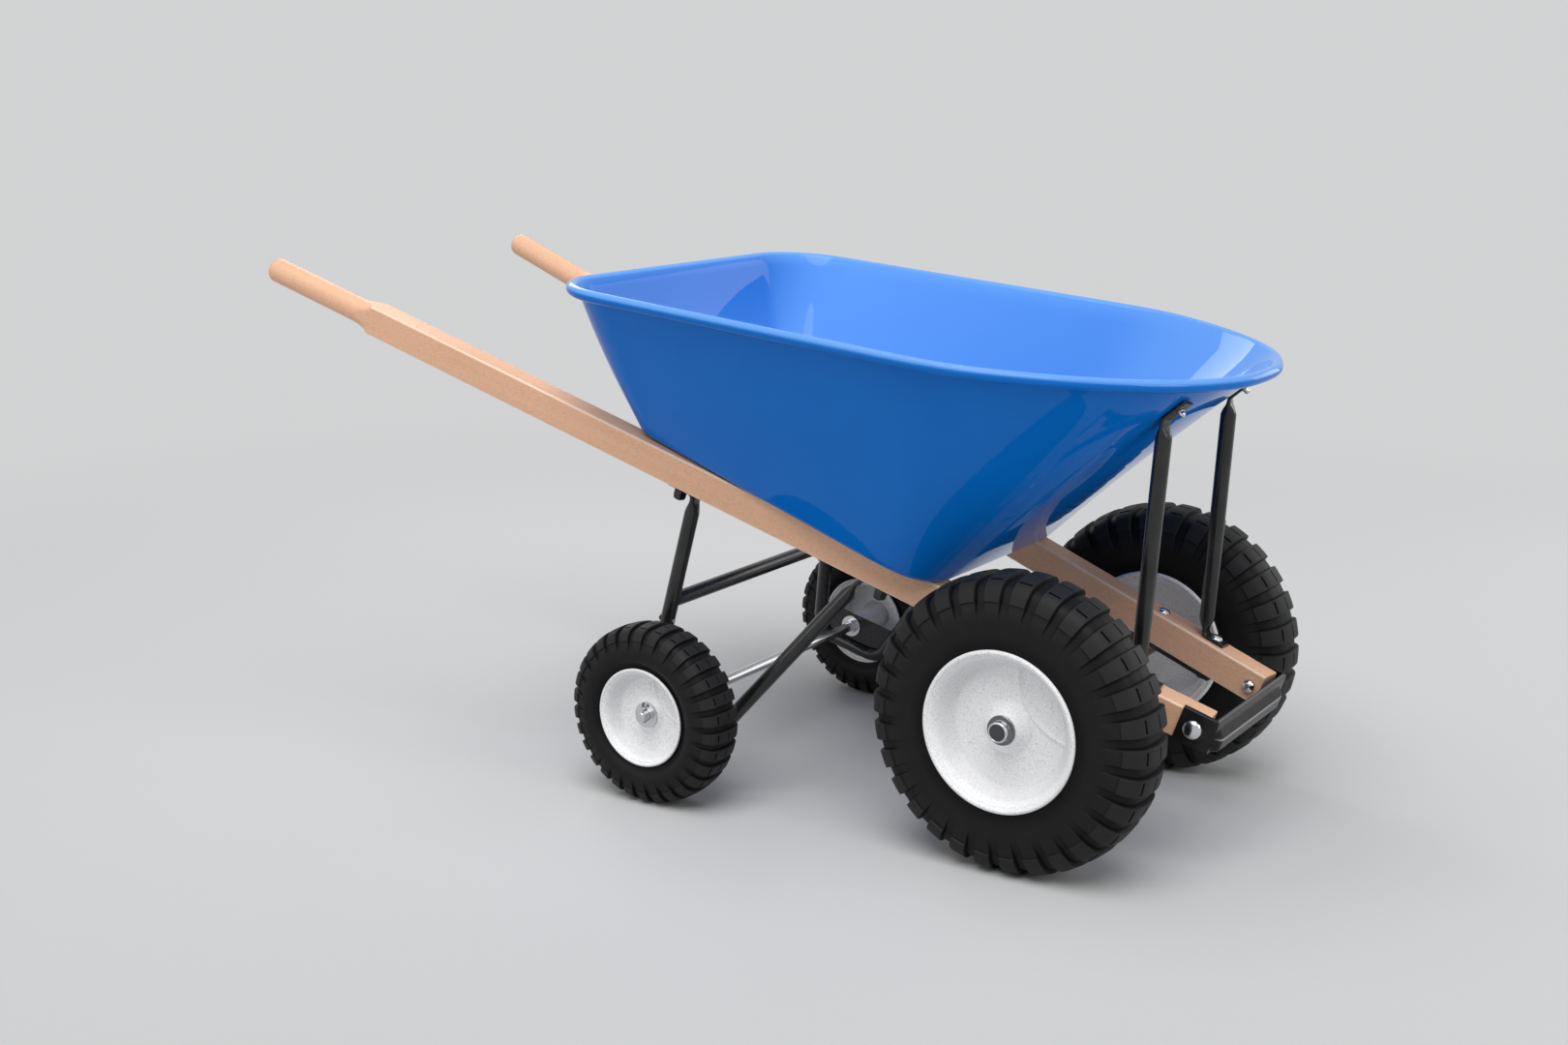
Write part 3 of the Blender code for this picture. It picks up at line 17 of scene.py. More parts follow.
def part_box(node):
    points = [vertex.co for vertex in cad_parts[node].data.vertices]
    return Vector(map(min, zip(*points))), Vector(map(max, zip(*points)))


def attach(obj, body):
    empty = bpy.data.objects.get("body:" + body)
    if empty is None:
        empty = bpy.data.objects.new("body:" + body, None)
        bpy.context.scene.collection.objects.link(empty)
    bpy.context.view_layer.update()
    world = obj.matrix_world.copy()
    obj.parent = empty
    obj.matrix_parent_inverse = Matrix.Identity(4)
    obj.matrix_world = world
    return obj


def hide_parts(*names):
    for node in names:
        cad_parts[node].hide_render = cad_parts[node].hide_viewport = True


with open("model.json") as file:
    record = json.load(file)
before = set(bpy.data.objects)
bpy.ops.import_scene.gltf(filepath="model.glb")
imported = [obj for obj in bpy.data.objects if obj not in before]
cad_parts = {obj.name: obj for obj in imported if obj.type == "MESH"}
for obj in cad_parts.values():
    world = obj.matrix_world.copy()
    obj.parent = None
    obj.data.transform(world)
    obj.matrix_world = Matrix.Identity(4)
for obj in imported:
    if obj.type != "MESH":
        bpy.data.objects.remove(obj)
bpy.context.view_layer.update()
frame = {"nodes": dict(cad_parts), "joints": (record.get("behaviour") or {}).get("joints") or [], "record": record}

body_of_node = {n: b for b, ns in frame["record"]["behaviour"]["bodies"].items() for n in ns}
slot_of_node = {s["node"]: s["material_slot"] for s in frame["record"]["subparts"]}
wheel_centres = {j["child"]: Vector(j["pos_m"]) for j in frame["joints"]}
front_axle_at = wheel_centres["front_wheel_right"] * Vector((1, 0, 1))
SIDES = {"left": 1, "right": -1}
print("solids:", len(frame["nodes"]), "front axle at", tuple(front_axle_at))

# %% [markdown]
# ## Writing a finish as sums
# A shader is a web of small nodes, and long node code hides what a finish does. One small class
# stands for an output socket here, so that a sum such as 0.3 + 0.1 * speckle adds its own Math
# nodes. Every other node comes from a single method of the Web class, which the finishes, the
# room's light and the tyres' node tree share.

# %% A socket that can be added and multiplied
class Wire:
    """An output socket. Sums with numbers or other wires add Math nodes."""

    def __init__(self, web, socket):
        self.web = web
        self.socket = socket

    def math(self, operation, first, second):
        return self.web.add("ShaderNodeMath", {"operation": operation}, {0: first, 1: second})

    def __add__(self, other):
        return self.math("ADD", self, other)

    def __sub__(self, other):
        return self.math("SUBTRACT", self, other)

    def __rsub__(self, other):
        return self.math("SUBTRACT", other, self)

    def __mul__(self, other):
        return self.math("MULTIPLY", self, other)

    __radd__ = __add__
    __rmul__ = __mul__


# %% A web of nodes
class Web:
    """Helpers that add nodes to one tree."""

    def __init__(self, tree):
        self.tree = tree

    def fill(self, node, sockets):
        for key, value in sockets.items():
            if isinstance(value, Wire):
                self.tree.links.new(value.socket, node.inputs[key])
            else:
                node.inputs[key].default_value = value

    def add(self, kind, settings, sockets, output=0):
        """A node of a kind: its settings first, then the values or wires of its sockets."""
        node = self.tree.nodes.new(kind)
        for key, value in settings.items():
            setattr(node, key, value)
        self.fill(node, sockets)
        return Wire(self, node.outputs[output])

    def ease(self, wire, low, high):
        """0 below low, 1 above high and smooth between them."""
        sockets = {"Value": wire, "From Min": low, "From Max": high}
        return self.add("ShaderNodeMapRange", {"interpolation_type": "SMOOTHSTEP"}, sockets)

    def ray_is_seen(self):
        """1 for camera rays, and for those that a mirror or a clear piece sends on."""
        camera, glossy, through = (self.add("ShaderNodeLightPath", {}, {}, kind) for kind in
                                   ("Is Camera Ray", "Is Glossy Ray", "Is Transmission Ray"))
        return camera.math("MAXIMUM", camera, glossy.math("MAXIMUM", glossy, through))


# %% A finish that is built node by node
class Finish(Web):
    """A material with one Principled shader, and helpers for what feeds it."""

    def __init__(self, name):
        self.material = bpy.data.materials.new(name)
        self.material.use_nodes = True
        super().__init__(self.material.node_tree)
        self.shader = self.tree.nodes["Principled BSDF"]

    def place(self, stretch=(1, 1, 1), turn=(0, 0, 0)):
        """Object coordinates, turned and then stretched."""
        raw = self.add("ShaderNodeTexCoord", {}, {}, "Object")
        turned = self.add("ShaderNodeMapping", {}, {"Vector": raw, "Rotation": turn})
        return self.add("ShaderNodeMapping", {}, {"Vector": turned, "Scale": stretch})

    def noise(self, where, scale, detail=2.0, rough=0.5):
        sockets = {"Vector": where, "Scale": scale, "Detail": detail, "Roughness": rough}
        return self.add("ShaderNodeTexNoise", {}, sockets)

    def mark(self, name):
        """A value that the piece's own mesh carries at its points."""
        return self.add("ShaderNodeAttribute", {"attribute_name": name}, {}, "Fac")

    def mix(self, share, first, second):
        """Two colours mixed by a share."""
        low, high = (c if isinstance(c, Wire) else (*c, 1) for c in (first, second))
        return self.add("ShaderNodeMix", {"data_type": "RGBA"}, {0: share, 6: low, 7: high}, 2)

    def bump(self, height, strength, distance):
        sockets = {"Height": height, "Strength": strength, "Distance": distance}
        return self.add("ShaderNodeBump", {}, sockets)

    def done(self, colour, roughness, sockets):
        self.fill(self.shader, {"Base Color": colour, "Roughness": roughness, **sockets})
        print("finish", self.material.name, "nodes", len(self.tree.nodes))
        return self.material


# %% [markdown]
# ## Paint and powder coat
# The tray wears a gloss enamel. A clear layer carries all of its gloss, which keeps the blue deep.
# A faint ripple stands for sprayed paint, and a few specks for dust. The faces that look up, which
# a mark of the tray's mesh picks out, are painted paler, as painted light from above. The tubes are
# powder coated: nearly black, half gloss, with a fine pebble. A second mark paints a highlight as a
# pale grey line along the nose guard's crease.

# %% The tray's blue enamel
def blue_enamel():
    f = Finish("blue_enamel")
    where = f.place()
    ripple = f.noise(where, 160.0, 2.0)
    cloud = f.noise(where, 7.0, 3.0)
    dust = f.ease(f.noise(where, 900.0, 1.0), 0.62, 0.80)
    tone = f.mix(cloud, (0.001, 0.150, 0.58), (0.003, 0.172, 0.65))
    # Painted light: faces that look up are mixed towards a paler blue, as if lit from above.
    pale = f.mix(f.mark("painted_top_light") * 0.58, tone, (0.21, 0.46, 0.94))
    colour = f.mix(dust * 0.08, pale, (0.10, 0.34, 0.82))
    return f.done(colour, 0.30 + 0.06 * cloud, {
        "Specular IOR Level": 0.0, "Coat Weight": 1.0, "Coat Roughness": 0.03, "Coat IOR": 1.25,
        "Normal": f.bump(ripple, 0.05, 0.0006),
    })


# %% The black powder coat
def black_coat(name, specular, coat):
    f = Finish(name)
    where = f.place()
    pebble = f.noise(where, 1400.0, 2.0)
    cloud = f.noise(where, 24.0, 3.0)
    tone = f.mix(f.ease(cloud, 0.35, 0.75), (0.010, 0.010, 0.0105), (0.020, 0.020, 0.0205))
    # Painted highlight: the guard's crease is mixed towards pale grey.
    colour = f.mix(f.mark("painted_highlight") * 0.85, tone, (0.36, 0.36, 0.365))
    return f.done(colour, 0.20 + 0.12 * cloud, {
        "Specular IOR Level": specular, "Coat Weight": coat, "Coat Roughness": 0.08,
        "Normal": f.bump(pebble, 0.12, 0.0004),
    })


# %% [markdown]
# ## Rubber and the rims' coat
# Tyre rubber is matt. Its colour carries painted light and shade: the lugs are painted a little
# paler than the side walls, as lit, the side wall paler on its bulge than by the bead, and the slots
# and groove corners darkest, as shaded. A mark of the mesh says how pale each point is. The rims
# have a pale silver coat full of tiny specks. The bowl's steep wall is painted greyer, as shade.

# %% Tyre rubber
def tyre_rubber():
    f = Finish("tyre_rubber")
    where = f.place()
    grain = f.noise(where, 900.0, 3.0, 0.6)
    cloud = f.noise(where, 30.0, 4.0)
    # Painted light and shade: the mesh's mark sets how pale each point of the rubber is.
    tone = f.mix(f.mark("painted_rubber_light"), (0.0015, 0.0015, 0.0016), (0.021, 0.021, 0.0215))
    colour = f.mix(f.ease(cloud, 0.3, 0.8) * 0.15, tone, (0.017, 0.017, 0.0175))
    return f.done(colour, 0.44 + 0.16 * grain, {
        "Specular IOR Level": 0.13, "Normal": f.bump(grain, 0.18, 0.0005),
    })


# %% The rims' speckled coat
def speckled_coat():
    f = Finish("speckled_rim_coat")
    speck = f.noise(f.place(), 560.0, 3.0, 0.8)
    dark = f.ease(speck, 0.50, 0.66)
    light = 1 - f.ease(speck, 0.34, 0.46)
    base = f.mix(dark, (0.91, 0.91, 0.92), (0.56, 0.56, 0.58))
    coated = f.mix(light * 0.7, base, (0.98, 0.98, 0.98))
    # Painted shade: the bowl's steep wall is mixed towards grey.
    colour = f.mix(f.mark("painted_wall_shade") * 0.28, coated, (0.55, 0.55, 0.56))
    return f.done(colour, 0.52 + 0.12 * dark, {
        "Specular IOR Level": 0.4, "Normal": f.bump(speck, 0.10, 0.0003),
    })


# %% [markdown]
# ## Plated steel and nylon
# Bolts, nuts, washers and the rear axle are plated. They mirror the room, dimmed by a soft cloud
# and fine scratches. The front axle's caps have three tones in rings: a grey flange, a bright
# barrel and a dark end, so the distance from the axle's line picks the tone.

# %% Plated steel, the caps' steel and the bushings' nylon
def plated_steel(name, low, high, roughness):
    f = Finish(name)
    cloud = f.noise(f.place(), 60.0, 4.0)
    scratch = f.noise(f.place((1, 1, 0.05)), 1600.0, 2.0)
    return f.done(f.mix(cloud, low, high), roughness + 0.12 * cloud + 0.05 * scratch, {
        "Metallic": 1.0, "Normal": f.bump(scratch, 0.04, 0.0002),
    })


def cap_steel(radius, dark_radius):
    f = Finish("cap_steel")
    cloud = f.noise(f.place(), 60.0, 4.0)
    axle = tuple(-front_axle_at)
    off = f.add("ShaderNodeVectorMath", {"operation": "ADD"}, {0: f.place(), 1: axle})
    flat = f.add("ShaderNodeVectorMath", {"operation": "MULTIPLY"}, {0: off, 1: (1, 0, 1)})
    from_axle = f.add("ShaderNodeVectorMath", {"operation": "LENGTH"}, {0: flat}, "Value")
    end = 1 - f.ease(from_axle, dark_radius - 0.0003, dark_radius + 0.0003)
    flange = f.ease(from_axle, radius + 0.0002, radius + 0.0008)
    barrel = f.mix(cloud, (0.60, 0.60, 0.62), (0.74, 0.74, 0.76))
    ring = f.mix(flange, barrel, (0.17, 0.175, 0.18))
    colour = f.mix(end, ring, (0.05, 0.052, 0.055))
    return f.done(colour, 0.16 + 0.12 * cloud + 0.2 * end, {"Metallic": 1.0 - 0.7 * end})


def bushing_nylon():
    f = Finish("bushing_nylon")
    grain = f.noise(f.place(), 700.0, 3.0)
    colour = f.mix(grain, (0.06, 0.06, 0.065), (0.11, 0.11, 0.115))
    return f.done(colour, 0.45 + 0.1 * grain, {"Normal": f.bump(grain, 0.1, 0.0003)})


# %% [markdown]
# ## Varnished wood
# Each handle is a single straight-grained bar, so the grain must run along the bar, not along the
# room. The pattern's place is turned by the handle's own slope and toe, then stretched along it.
# Dark specks stand for open pores and pale ones for sanded fibres, under a thin dull varnish. A
# mark of the handle's mesh paints a pale line along the bar's corners, as their painted highlight.

# %% Wood whose grain follows a handle
HANDLE_SLOPE = math.radians(19.34)
HANDLE_TOE = math.radians(6.9)


def handle_wood(word, side):
    f = Finish("varnished_wood_" + word)
    turn = (0.0, -HANDLE_SLOPE, side * HANDLE_TOE)
    grain = f.noise(f.place((1.2, 26.0, 26.0), turn), 3.0, 5.0, 0.6)
    speck = f.noise(f.place((60.0, 300.0, 300.0), turn), 3.0, 3.0, 0.75)
    tone = f.mix(f.ease(grain, 0.30, 0.75), (0.83, 0.50, 0.328), (0.78, 0.455, 0.29))
    pored = f.mix(f.ease(speck, 0.50, 0.68) * 0.50, tone, (0.50, 0.265, 0.155))
    sanded = f.mix((1 - f.ease(speck, 0.32, 0.46)) * 0.25, pored, (0.92, 0.64, 0.46))
    # Painted highlight: the bar's corners are mixed towards a pale tone.
    colour = f.mix(f.mark("corner") * 0.6, sanded, (0.97, 0.78, 0.64))
    return f.done(colour, 0.40 + 0.10 * grain, {
        "Specular IOR Level": 0.10, "Coat Weight": 0.08, "Coat Roughness": 0.25,
        "Normal": f.bump(speck, 0.03, 0.0002),
    })


# %% All finishes by the record's slot names
bright_steel = plated_steel("bright_plated_steel", (0.56, 0.56, 0.58), (0.70, 0.70, 0.72), 0.13)
dark_steel = plated_steel("dark_plated_steel", (0.045, 0.045, 0.048), (0.08, 0.08, 0.083), 0.32)
dull_steel = plated_steel("dull_plated_steel", (0.12, 0.12, 0.125), (0.24, 0.24, 0.245), 0.20)
finish_of_slot = {
    "tray_blue_paint": blue_enamel(),
    "black_powder_coat": black_coat("black_powder_coat", specular=0.42, coat=0.15),
    "tyre_rubber": tyre_rubber(), "rim_speckled_coat": speckled_coat(),
    "bright_zinc_steel": bright_steel, "dark_nut_steel": dark_steel,
    "bushing_nylon": bushing_nylon(),
}
wood_of_side = {word: handle_wood(word, side) for word, side in SIDES.items()}


# %% [markdown]
# ## Helpers for pieces
# Most new pieces are rows of points that four-cornered faces join, because an edge then lies
# exactly where the real one does. A finished piece sits at the origin with its place in its mesh.
# It rides on the body of the solid that it stands for, and takes that solid's material slot.

# %% Rows of points become a mesh
def grid_faces(rows, columns, rows_meet=False, columns_meet=False):
    """Faces between rows of points. A direction that meets is closed into a ring."""
    faces = []
    for i in range(rows if rows_meet else rows - 1):
        j = (i + 1) % rows
        for k in range(columns if columns_meet else columns - 1):
            m = (k + 1) % columns
            faces.append((i * columns + k, i * columns + m, j * columns + m, j * columns + k))
    return faces


def new_object(name, data):
    obj = bpy.data.objects.new(name, data)
    bpy.context.scene.collection.objects.link(obj)
    return obj


def drawn(name, points, faces, mark="", values=()):
    """An object, with a value for each point under the mark's name if there is one."""
    mesh = bpy.data.meshes.new(name)
    mesh.from_pydata([tuple(point) for point in points], [], faces)
    if mark:
        mesh.attributes.new(mark, "FLOAT", "POINT").data.foreach_set("value", values)
    return new_object(name, mesh)


def face_outward(obj, last_down=False):
    """Turns all faces outward. An open sheet's last face can be made to look down."""
    work = bmesh.new()
    work.from_mesh(obj.data)
    bmesh.ops.remove_doubles(work, verts=work.verts, dist=0.000001)
    bmesh.ops.recalc_face_normals(work, faces=work.faces)
    work.faces.ensure_lookup_table()
    if last_down and work.faces[-1].normal.z > 0:
        bmesh.ops.reverse_faces(work, faces=work.faces)
    work.to_mesh(obj.data)
    work.free()


# %% What modifiers do to a piece
def sheet_from_half(obj, thickness, offset, even=False):
    """The left half of a sheet is mirrored, and then gets its thickness."""
    halves = obj.modifiers.new("halves", "MIRROR")
    halves.use_axis = (False, True, False)
    halves.merge_threshold = 0.00001
    sheet = obj.modifiers.new("sheet", "SOLIDIFY")
    sheet.thickness = thickness
    sheet.use_even_offset = even
    sheet.offset = offset


def round_edges(obj, width, segments, angle):
    edge = obj.modifiers.new("edge", "BEVEL")
    edge.width = width
    edge.segments = segments
    edge.limit_method = "ANGLE"
    edge.angle_limit = math.radians(angle)


def punch(obj, bolts):
    """A hole for each bolt, cut with the bolt's own solid."""
    for bolt in bolts:
        hole = obj.modifiers.new("hole", "BOOLEAN")
        hole.object = frame["nodes"][bolt]
        hole.solver = "EXACT"


def apply_modifiers(obj):
    """The evaluated mesh takes the place of the plain one, and the modifiers go."""
    bpy.context.view_layer.update()
    seen = obj.evaluated_get(bpy.context.evaluated_depsgraph_get())
    obj.data = bpy.data.meshes.new_from_object(seen)
    obj.modifiers.clear()


# %% Shade a piece and tie it to its solid
FLAT_ANGLE = 38
ROUND_ANGLE = 40


def shade(obj, angle):
    """Smooth faces, with sharp edges where two faces meet at more than the angle in degrees."""
    obj.data.shade_smooth()
    obj.data.set_sharp_from_angle(angle=math.radians(angle))


def shade_flats(obj):
    """Big faces set the direction at each corner, so that flats look flat."""
    shade(obj, FLAT_ANGLE)
    obj.modifiers.new("normals", "WEIGHTED_NORMAL").keep_sharp = True
    apply_modifiers(obj)


def material_for(node):
    slot = slot_of_node[node]
    return wood_of_side[node.split("_")[-1]] if slot == "handle_wood" else finish_of_slot[slot]


def stand_for(obj, node, finish=None):
    """Ties a piece to its solid, and prints in mm how far its ends lie from the solid's."""
    obj.data.materials.clear()
    obj.data.materials.append(finish or material_for(node))
    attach(obj, body_of_node[node])
    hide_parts(node)
    off = [[round(1000 * (end(v.co[k] for v in obj.data.vertices) - box[k]), 1) for k in range(3)]
           for end, box in zip((min, max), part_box(node))]
    print(node, "faces", len(obj.data.polygons), "ends off by", off)


# %% [markdown]
# ## Bolts, bars, tubes and plates
# The solids of the small pieces have the right shape, but their faces are loose triangles with hard
# edges. A merged copy with smooth faces and a fine rounded edge catches the light as real metal
# does. The cotter pins are plainer steel than the bolts, so they get a duller finish.

# %% Rounded copies of the solids
REMADE_WORDS = ("_tyre_", "_rim_", "handle_", "front_axle_cap_")
PLATES = ("rear_leg", "front_strut", "axle_gusset", "axle_bracket", "cross_brace")
PLATE_EDGE = 0.0005
BOLT_EDGE = 0.00025
FLAT_WITHIN = math.radians(0.4)


def rounded_copy(node, width, finish=None):
    mesh = frame["nodes"][node].data.copy()
    work = bmesh.new()
    work.from_mesh(mesh)
    bmesh.ops.remove_doubles(work, verts=work.verts, dist=0.00001)
    bmesh.ops.dissolve_limit(work, angle_limit=FLAT_WITHIN, verts=work.verts, edges=work.edges)
    work.to_mesh(mesh)
    work.free()
    obj = new_object(node + "_surface", mesh)
    round_edges(obj, width, 2, FLAT_ANGLE)
    apply_modifiers(obj)
    shade_flats(obj)
    stand_for(obj, node, finish)


remade = {"tray", "nose_guard"}
remade |= {node for node in frame["nodes"] if any(word in node for word in REMADE_WORDS)}
for node in sorted(set(frame["nodes"]) - remade):
    rounded_copy(node, PLATE_EDGE if node.startswith(PLATES) else BOLT_EDGE,
                 dull_steel if node.startswith("cotter_pin_") else None)


# %% [markdown]
# ## Handles
# A handle is one sawn bar whose end is turned to a round grip. The cutter leaves a cove where the
# round meets the square, and the flat faces end there in curved lines, as on a sharpened pencil.
# Each cross section is the bar's rounded rectangle, cut back to the turned radius at that place.

# %% The bar's cross section, and the radius that the cutter left
HANDLE_HALF = (0.019, 0.02275)
HANDLE_CORNER = 0.003
HANDLE_BACK = 1.397
HANDLE_FRONT = 0.2236
HANDLE_BEVEL = 0.0008
GRIP_RADIUS = 0.0192
GRIP_LENGTH = 0.1695
GRIP_NECK = 0.042
GRIP_END = 0.014


def bar_outline():
    """Points round the bar, with each corner as a small arc."""
    wide, high = (size - HANDLE_CORNER for size in HANDLE_HALF)
    quarter = [(HANDLE_HALF[0], high * t / 5) for t in range(5)]
    for i in range(7):
        turn = math.radians(90 * i / 6)
        quarter.append((wide + HANDLE_CORNER * math.cos(turn),
                        high + HANDLE_CORNER * math.sin(turn)))
    quarter += [(wide * (1 - t / 5), HANDLE_HALF[1]) for t in range(1, 5)]
    quarter.append((0.0, HANDLE_HALF[1]))
    upper = quarter + [(-x, y) for x, y in quarter[-2::-1]]
    return upper + [(x, -y) for x, y in upper[-2:0:-1]]


def turned_radius(along):
    """The radius that the cutter left at a place along the handle."""
    end = along + HANDLE_BACK
    if end < GRIP_END:
        return GRIP_RADIUS - GRIP_END * (1 - math.sqrt(1 - (1 - end / GRIP_END) ** 2))
    diagonal = math.hypot(*HANDLE_HALF)
    t = min(max((end - GRIP_LENGTH) / GRIP_NECK, 0.0), 1.0)
    return GRIP_RADIUS + (diagonal - GRIP_RADIUS) * (1 - math.sqrt(1 - t * t))


# %% Where the cross sections lie, and how a handle lies in the room
HANDLE_OUT_AT_AXLE = 0.1311
HANDLE_OVER_AXLE = 0.0634


def handle_places():
    """Places of the cross sections: close together on the round end and in the cove."""
    places = [GRIP_END * (1 - math.cos(math.radians(90 * i / 12))) for i in range(12)]
    places += [GRIP_END + (GRIP_LENGTH - GRIP_END) * i / 8 for i in range(9)]
    places += [GRIP_LENGTH + GRIP_NECK * math.sin(math.radians(90 * i / 30)) for i in range(1, 31)]
    rest = HANDLE_BACK + HANDLE_FRONT - GRIP_LENGTH - GRIP_NECK - HANDLE_BEVEL
    places += [GRIP_LENGTH + GRIP_NECK + rest * i / 10 for i in range(1, 11)]
    return [place - HANDLE_BACK for place in places]


def handle_frame(side):
    """From places along, across and over a handle's middle line to places in the room."""
    run = Vector((math.cos(HANDLE_TOE), -side * math.sin(HANDLE_TOE), 0)) * math.cos(HANDLE_SLOPE)
    run.z = -math.sin(HANDLE_SLOPE) * math.cos(HANDLE_TOE)
    run.normalize()
    up = Vector((math.tan(HANDLE_SLOPE), 0, 1)).normalized()
    turn = Matrix((run, up.cross(run).normalized(), up)).transposed().to_4x4()
    at = Vector((front_axle_at.x, side * HANDLE_OUT_AT_AXLE, front_axle_at.z + HANDLE_OVER_AXLE))
    return Matrix.Translation(at) @ turn


# %% Two handles, with their bolt holes
# Width of the band along the bar's corners that gets a painted highlight.
CORNER_HIGHLIGHT = 0.0018
HANDLE_BOLTS = ("tray_rear", "tray_front", "bracket", "strut_foot", "nose")


def make_handle(word, side):
    name = "handle_" + word
    outline = bar_outline()
    count = len(outline)
    points = []
    corner = []
    for along in handle_places():
        radius = turned_radius(along)
        for x, y in outline:
            share = min(1.0, radius / math.hypot(x, y))
            points.append((along, x * share, y * share))
            # Painted highlight: points within the band of a sawn corner get a pale line.
            painted_highlight = math.hypot(x, y) > math.hypot(*HANDLE_HALF) - CORNER_HIGHLIGHT and share == 1.0
            corner.append(1.0 if painted_highlight else 0.0)
    inset = 1 - HANDLE_BEVEL / HANDLE_HALF[0]
    points += [(HANDLE_FRONT, x * inset, y * inset) for x, y in outline]
    corner += corner[-count:]
    rings = len(points) // count
    ends = [tuple(range(count)), tuple(range((rings - 1) * count, rings * count))]
    faces = ends + grid_faces(rings, count, columns_meet=True)
    obj = drawn(name + "_surface", points, faces, "corner", corner)
    obj.data.transform(handle_frame(side))
    face_outward(obj)
    punch(obj, [label + "_bolt_" + word for label in HANDLE_BOLTS])
    apply_modifiers(obj)
    shade_flats(obj)
    stand_for(obj, name)


for word, side in SIDES.items():
    make_handle(word, side)


# %% [markdown]
# ## Nose guard
# One sheet folds round both handle ends and carries a long ridge across the front. Its upper edge
# curls inward, and the ridge has a crisp crease, along which a painted highlight runs as a pale
# line. A grid of points is the plainest way to draw a folded sheet: one row for each fold and one
# column for each bend. Only the left half is drawn and then mirrored, and the guard's own bolts cut
# its holes.

# %% Rows and columns of the folded sheet
GUARD_SHEET = 0.0025
GUARD_FLAP = 0.050
GUARD_STANDOFF = 0.013
GUARD_RIDGE = 0.009
GUARD_RISE = 0.0012
GUARD_LIP = 0.0032
GUARD_GAP = 0.0003
# Down from the handle's top face, the ridge's share there, and 1 where the crease gets a painted highlight.
GUARD_FOLDS = ((0.0100, 0.0, 0), (0.0125, 0.06, 0), (0.0229, 0.92, 0), (0.0236, 0.975, 1),
               (0.0248, 1.0, 1), (0.0255, 1.0, 0), (0.0390, 1.0, 0), (0.0402, 0.90, 0),
               (0.0440, 0.08, 0))
# Share of the way to the guard's side, and the ridge's share there.
GUARD_BENDS = ((0.0, 1.0), (0.5, 1.0), (0.86, 1.0), (0.885, 0.94), (0.905, 0.75), (0.92, 0.4),
               (0.94, 0.1), (0.96, 0.0))


def guard_rows():
    """Height over the handle's middle line, share of the ridge, how far the lip is in, and painted highlight."""
    top = HANDLE_HALF[1] + GUARD_RISE
    rows = []
    for i in range(5):
        turn = math.radians(90 * i / 4)
        rows.append((top - GUARD_LIP / 2 * (1 - math.cos(turn)), 0.0,
                     GUARD_LIP * (1 - math.sin(turn)), 0.0))
    rows += [(HANDLE_HALF[1] - down, out, 0.0, painted_highlight) for down, out, painted_highlight in GUARD_FOLDS]
    return rows + [(-HANDLE_HALF[1], 0.0, 0.0, 0.0)]


# %% The nose guard
def guard_half():
    """Points of the left half, row by row, and how much painted highlight each one gets."""
    half = handle_frame(1)
    slope_up = Vector((math.sin(HANDLE_SLOPE), 0, math.cos(HANDLE_SLOPE)))
    forward = Vector((math.cos(HANDLE_SLOPE), 0, -math.sin(HANDLE_SLOPE)))
    panel = half @ Vector((HANDLE_FRONT, 0, 0)) + forward * GUARD_STANDOFF
    panel.y = 0.0
    face = HANDLE_HALF[0] + GUARD_GAP
    run = half.to_3x3() @ Vector((1, 0, 0))
    corner_along = (panel.x - half.translation.x) / run.x
    corner = (half @ Vector((corner_along, face, 0))).y
    points = []
    painted_highlights = []
    for height, ridge, lip, painted_highlight in guard_rows():
        # Painted highlight: points on the crease get a pale grey line in the coat.
        painted_highlights += [painted_highlight * out for share, out in GUARD_BENDS] + [0.0] * 3
        for share, out in GUARD_BENDS:
            points.append(panel + slope_up * height + forward * (GUARD_RIDGE * ridge * out - lip)
                          + Vector((0, corner * share, 0)))
        points.append(panel + slope_up * height - forward * (lip / 2)
                      + Vector((0, corner - lip / 2, 0)))
        for back in (0.5, 1.0):
            points.append(half @ Vector((corner_along - GUARD_FLAP * back, face - lip, height)))
    return points, painted_highlights


def make_guard():
    points, painted_highlights = guard_half()
    rows = len(guard_rows())
    obj = drawn("nose_guard_surface", points, grid_faces(rows, len(points) // rows), "painted_highlight", painted_highlights)
    face_outward(obj)
    faces_front = obj.data.polygons[0].normal.x > 0
    sheet_from_half(obj, GUARD_SHEET, 1.0 if faces_front else -1.0, even=True)
    round_edges(obj, 0.0007, 3, 25)
    punch(obj, ("nose_bolt_left", "nose_bolt_right"))
    apply_modifiers(obj)
    shade_flats(obj)
    stand_for(obj, "nose_guard", black_coat("black_guard_coat", specular=0.08, coat=0.12))


make_guard()


# %% [markdown]
# ## Axle caps
# A pressed cap closes each end of the front axle: a flange, a short barrel with a rounded shoulder
# and a dark flat end. It is a turned shape, so a profile of radius and height is enough.

# %% Two axle caps
CAP_FLANGE = 0.0200
CAP_FLANGE_SHEET = 0.002
CAP_RADIUS = 0.0138
CAP_LENGTH = 0.0122
CAP_DARK_RADIUS = 0.0114
CAP_SHOULDER = 0.0018
CAP_EDGE = 0.0004
CAP_STEPS = 64


def cap_profile():
    top = CAP_FLANGE_SHEET
    profile = [(CAP_FLANGE - CAP_EDGE, 0.0), (CAP_FLANGE, CAP_EDGE), (CAP_FLANGE, top - CAP_EDGE),
               (CAP_FLANGE - CAP_EDGE, top), (CAP_RADIUS + 0.0012, top),
               (CAP_RADIUS + 0.0004, top + 0.0003), (CAP_RADIUS, top + 0.0012)]
    for i in range(6):
        turn = math.radians(90 * i / 5)
        profile.append((CAP_RADIUS - CAP_SHOULDER * (1 - math.cos(turn)),
                        CAP_LENGTH - CAP_SHOULDER * (1 - math.sin(turn))))
    return profile + [(CAP_DARK_RADIUS + 0.0003, CAP_LENGTH),
                      (CAP_DARK_RADIUS, CAP_LENGTH - CAP_EDGE),
                      (CAP_DARK_RADIUS * 0.5, CAP_LENGTH - CAP_EDGE)]


